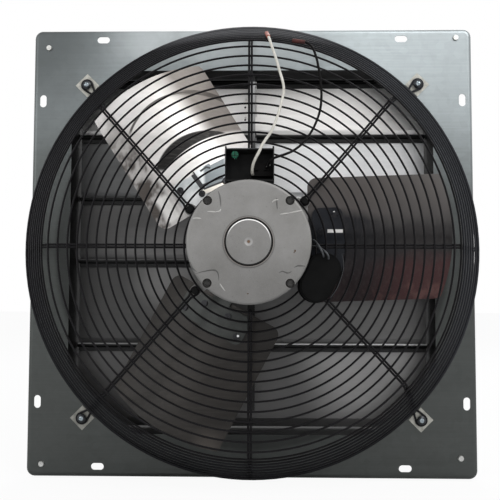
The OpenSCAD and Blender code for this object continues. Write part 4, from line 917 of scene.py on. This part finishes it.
def crossing(a, b, r):
    """Where the line from a to b meets the circle of radius r about the axis."""
    d = b - a
    p, q, w = d.dot(d), 2 * a.dot(d), a.dot(a) - r * r
    return a + d * ((-q + math.sqrt(max(q * q - 4 * p * w, 0))) / (2 * p))


def bead_pair(piece, start, end, r, y, size):
    """A weld bead on each wire of the rib from start to end, at the ring of radius r."""
    c, across = crossing(start, end, r), (end - start).normalized()
    for side in (-1, 1):
        o = side * RIB_GAP / 2
        piece.blob((c.x - across.y * o, y, c.y + across.x * o), size)


def guard_welds():
    """Weld beads where the ribs cross the rings."""
    piece = Build()
    for k in range(8):
        diagonal = k in LEAN
        shoulder = polar(GUARD_R, RIB_STEP * k + LEAN.get(k, 0))
        start = polar(EYE_R, MOUNT[k]) if diagonal else polar(INNER_R, RIB_STEP * k)
        end = polar(LOOP_R if diagonal else BASE_R, RIB_STEP * k)
        for ring in range(FACE_RINGS):
            r = FACE_RING_R - FACE_RING_STEP * ring
            if not diagonal or r >= EYE_R + 10:
                bead_pair(piece, start, shoulder, r, FACE_RING_Y + WIRE_R, (1.7, 0.75, 1.7))
        for ring in range(SIDE_RINGS):
            r = SIDE_RING_R + SIDE_WIDE * ring / SIDE_RINGS + SIDE_INWARD[0] * WIRE_R
            y = SIDE_RING_Y + SIDE_DEEP * ring / SIDE_RINGS + SIDE_INWARD[1] * WIRE_R
            bead_pair(piece, shoulder, end, r, y, (1.5, 1.5, 1.5))
    piece.make("guard_welds", "enamel", "frame", "black_enamel")


# Relief and marks of the rear bell, drawn as lines of (x, z) on its face, the ridges in a painted
# highlight and the flanks in painted shade
RIDGES = [
    [(-37.0, 33.0), (-32.6, 34.0), (-31.0, 36.5)], [(-46, 33.6), (-41, 33.2), (-36, 33.0)],
    [(-62.5, 25.9), (-58, 26.1), (-53, 25.9)], [(34.6, 30.6), (39, 31.0), (44.5, 32.0)],
    [(44.5, 32.0), (52, 33.4), (59.5, 35.0)], [(-31.9, -46.4), (-29.5, -50.5), (-25.9, -54.7)],
    [(26, 44), (29, 46.2), (33, 46.8)]]
FLANKS = [
    [(-34.3, 57), (-32.6, 52), (-31.6, 46), (-31.2, 39)], [(31.0, 49), (31.2, 43), (31.8, 36)],
    [(-58.6, -35.6), (-50.2, -33.2), (-40.2, -31.4), (-35.4, -32.6), (-33.4, -37), (-33.1, -43.5)],
    [(33.2, -34.4), (37.5, -32.7), (41.5, -34.0), (44.5, -34.4), (48.0, -32.7)],
    [(50.2, -28.7), (54.4, -26.6), (59, -26.6), (62.7, -27.1)],
    [(-65.6, -22.4), (-63.0, -28.2), (-57.6, -33.6)]]
RELIEF_Y = BELL_FACE + 0.35
RECESS = 46
RIM_SEGMENTS, BOW_STEPS = 96, 40


def ridge(name, lines, r, material):
    """Low rounded lines on the bell, thinner towards their ends."""
    piece = Build()
    for line in lines:
        pts = smooth_route([(x, RELIEF_Y, z) for x, z in line], 4)
        n = len(pts)
        piece.tube(pts, [r * (0.35 + 0.65 * math.sin(math.pi * (i + 0.5) / n)) for i in range(n)], 8)
    piece.make(name, material, "frame", "cast_aluminium")


def cap_groove():
    """Painted shade in the groove round the bearing cap."""
    piece = Build()
    profile = [(CAP_R + 0.05, BELL_FACE + 0.1), (CAP_R + 0.1, BELL_FACE - 0.22),
               (CAP_R + 1.2, BELL_FACE - 0.25), (CAP_R + 1.5, BELL_FACE + 0.1)]
    piece.lathe(profile, RIM_SEGMENTS)
    piece.make("cap_groove", "groove", "frame", "cast_aluminium", smooth=50)


def cap_bow():
    """A painted highlight low in the groove: a thin bright line, thinner towards both ends."""
    piece = Build()
    r = CAP_R + 1.9
    pts, radii = [], []
    for i in range(BOW_STEPS + 1):
        turn = math.radians(195 + 105 * i / BOW_STEPS)
        pts.append((r * math.cos(turn), BELL_FACE + 0.05, r * math.sin(turn)))
        radii.append(0.4 * (0.12 + 0.88 * math.sin(math.pi * i / BOW_STEPS)))
    piece.tube(pts, radii, 6)
    piece.make("cap_bow_highlight", "glint", "frame", "cast_aluminium")


def bell_rim_line():
    """The raised edge of the bell round the cap's groove, in a lighter copy of the cast metal as a
    painted highlight.
    """
    piece = Build()
    turns = [2 * math.pi * k / RIM_SEGMENTS for k in range(RIM_SEGMENTS)]
    r = CAP_R + 2.3
    circle = [(r * math.cos(t), BELL_FACE + 0.12, r * math.sin(t)) for t in turns]
    piece.tube(circle, 0.42, 6, closed=True)
    piece.make("bell_rim_line", "relief", "frame", "cast_aluminium")


def recess_rims():
    """Painted shade round the four recesses of the through bolts."""
    piece = Build()
    profile = [(4.0, BELL_FACE + 0.05), (4.05, BELL_FACE - 0.12), (4.9, BELL_FACE - 0.14),
               (5.15, BELL_FACE + 0.05)]
    for centre in ((-RECESS, RECESS), (RECESS, RECESS), (-RECESS, -RECESS), (RECESS, -RECESS)):
        piece.lathe(profile, 32, centre)
    piece.make("recess_rims", "groove", "frame", "cast_aluminium", smooth=50)


def bell_pits():
    """Three brown spots on the bell's face."""
    piece = Build()
    piece.blob((51.4, BELL_FACE, -10.1), (1.0, 0.35, 1.6))
    piece.blob((50.3, BELL_FACE, -12.0), (0.7, 0.3, 0.7))
    piece.blob((-0.8, BELL_FACE, -57.6), (1.2, 0.12, 0.7))
    piece.make("bell_pits", "stain", "frame", "cast_aluminium")


def rod(name, pts, r, sides, material, slot):
    """A thin line of light or wire along points."""
    piece = Build()
    piece.tube(pts, r, sides)
    piece.make(name, material, "frame", slot)


def ground_slots():
    """The cross slot of the green ground screw, as thin boxes in painted shade."""
    piece = Build()
    piece.box((-20.4, -145.2, 99.2), (-12.6, -144.9, 100.1))
    piece.box((-16.9, -145.2, 98.0), (-16.1, -144.9, 105.0))
    piece.make("ground_slots", "groove", "frame", "green_lacquer", smooth=None)


def capacitor_rim_highlight():
    """A painted highlight along the capacitor's right edge, as a thin light line."""
    line = [(104.6, -149.6, -13), (106.6, -149.6, -24), (104.6, -149.6, -36.5), (99.2, -149.6, -51),
            (91.6, -149.6, -62)]
    rod("capacitor_rim_highlight", smooth_route(line), 0.26, 6, "grey_wire", "capacitor_black")


def ear_edge_highlight():
    """The bare edge of the drive bell's upper right ear, drawn as a painted highlight."""
    piece = Build()
    piece.box((50.5, -81.6, 59.0), (67.0, -80.8, 60.3), bevel=0.2)
    piece.make("ear_edge_highlight", "glint", "frame", "cast_aluminium", smooth=40)


def area(name, at, look, size, power):
    """A rectangular lamp turned to the point that it looks at, in metres and watts."""
    data = bpy.data.lights.new(name, "AREA")
    data.shape = "RECTANGLE"
    data.size, data.size_y = size
    data.energy = power
    ob = bpy.data.objects.new(name, data)
    ob.location = at
    ob.rotation_mode = "QUATERNION"
    ob.rotation_quaternion = (Vector(look) - Vector(at)).to_track_quat("-Z", "Y")
    bpy.context.scene.collection.objects.link(ob)


def world():
    """White for the camera, mirrors and clear things, and a softer light for everything else."""
    studio = bpy.data.worlds.new("studio")
    studio.use_nodes = True
    bpy.context.scene.world = studio
    tree = studio.node_tree
    tree.nodes.clear()
    path = tree.nodes.new("ShaderNodeLightPath")
    seen = path.outputs["Is Camera Ray"]
    for ray in ("Is Glossy Ray", "Is Transmission Ray"):
        either = tree.nodes.new("ShaderNodeMath")
        either.operation = "ADD"
        either.use_clamp = True
        tree.links.new(seen, either.inputs[0])
        tree.links.new(path.outputs[ray], either.inputs[1])
        seen = either.outputs[0]
    both = tree.nodes.new("ShaderNodeMixShader")
    tree.links.new(seen, both.inputs[0])
    for socket, colour, strength in ((1, (0.95, 0.97, 1.0, 1), 0.55), (2, (1, 1, 1, 1), 1.0)):
        light = tree.nodes.new("ShaderNodeBackground")
        light.inputs["Color"].default_value = colour
        light.inputs["Strength"].default_value = strength
        tree.links.new(light.outputs[0], both.inputs[socket])
    tree.links.new(both.outputs[0], tree.nodes.new("ShaderNodeOutputWorld").inputs[0])


# The floor lies just under the part, and this share of what the camera sees of it is plain white
FLOOR_HALF, FLOOR_Z, FLOOR_GLOW = 6, -0.3045, 0.93


def floor_white():
    """Pale for all rays, and nearly white for the camera, so that the shadow stays faint."""
    mat = bpy.data.materials.new("floor_white")
    mat.use_nodes = True
    tree = mat.node_tree
    shader = tree.nodes["Principled BSDF"]
    shader.inputs["Base Color"].default_value = (0.86, 0.86, 0.86, 1)
    shader.inputs["Roughness"].default_value = 0.9
    glow = tree.nodes.new("ShaderNodeEmission")
    glow.inputs["Strength"].default_value = 1.0
    path = tree.nodes.new("ShaderNodeLightPath")
    share = tree.nodes.new("ShaderNodeMath")
    share.operation = "MULTIPLY"
    share.inputs[1].default_value = FLOOR_GLOW
    tree.links.new(path.outputs["Is Camera Ray"], share.inputs[0])
    both = tree.nodes.new("ShaderNodeMixShader")
    for socket, source in enumerate((share, shader, glow)):
        tree.links.new(source.outputs[0], both.inputs[socket])
    tree.links.new(both.outputs[0], tree.nodes["Material Output"].inputs[0])
    return mat


def floor():
    half = FLOOR_HALF
    corners = [(x, y, FLOOR_Z) for x, y in ((-half, -half), (half, -half), (half, half), (-half, half))]
    mesh = bpy.data.meshes.new("floor")
    mesh.from_pydata(corners, [], [[0, 1, 2, 3]])
    mesh.materials.append(floor_white())
    ob = bpy.data.objects.new("floor", mesh)
    bpy.context.scene.collection.objects.link(ob)


camera()
paint_nodes()
lead("white_lead_wire", WHITE, 3.4, "white_wire", "white_insulation")
lead("black_lead_wire", BLACK, 3.0, "black_wire", "black_insulation")
capacitor_leads()
slat_seals()
guard_welds()
ridge("bell_ridges", RIDGES, 1.15, "glow_metal")
ridge("bell_flanks", FLANKS, 0.9, "flank")
cap_groove()
cap_bow()
bell_rim_line()
recess_rims()
bell_pits()
# A painted highlight along the terminal box's top edge, as a thin grey rod
rod("box_edge_highlight", [(-25.5, -149.6, 107.0), (26.5, -149.6, 107.0)], 0.55, 6, "grey_wire", "black_box")
ground_slots()
capacitor_rim_highlight()
ear_edge_highlight()
# A painted glint on the end of the black lead, as a short bright pin
rod("black_terminal_glint", [(19.8, -138.6, 88.2), (24.2, -139.4, 90.0)], 0.6, 8, "glint", "zinc_plate")
bracket_rivets()
area("key_light", (1.1, -1.3, 1.5), (0, 0, 0.05), (1.2, 1.2), 26)
area("fill_light", (-1.6, -1.4, 0.6), (0, 0, 0), (1.4, 1.4), 10)
area("back_light", (0.3, 1.6, 1.2), (0, 0, 0), (1.4, 1.0), 14)
world()
floor()

bpy.context.scene.view_settings.view_transform = "Standard"
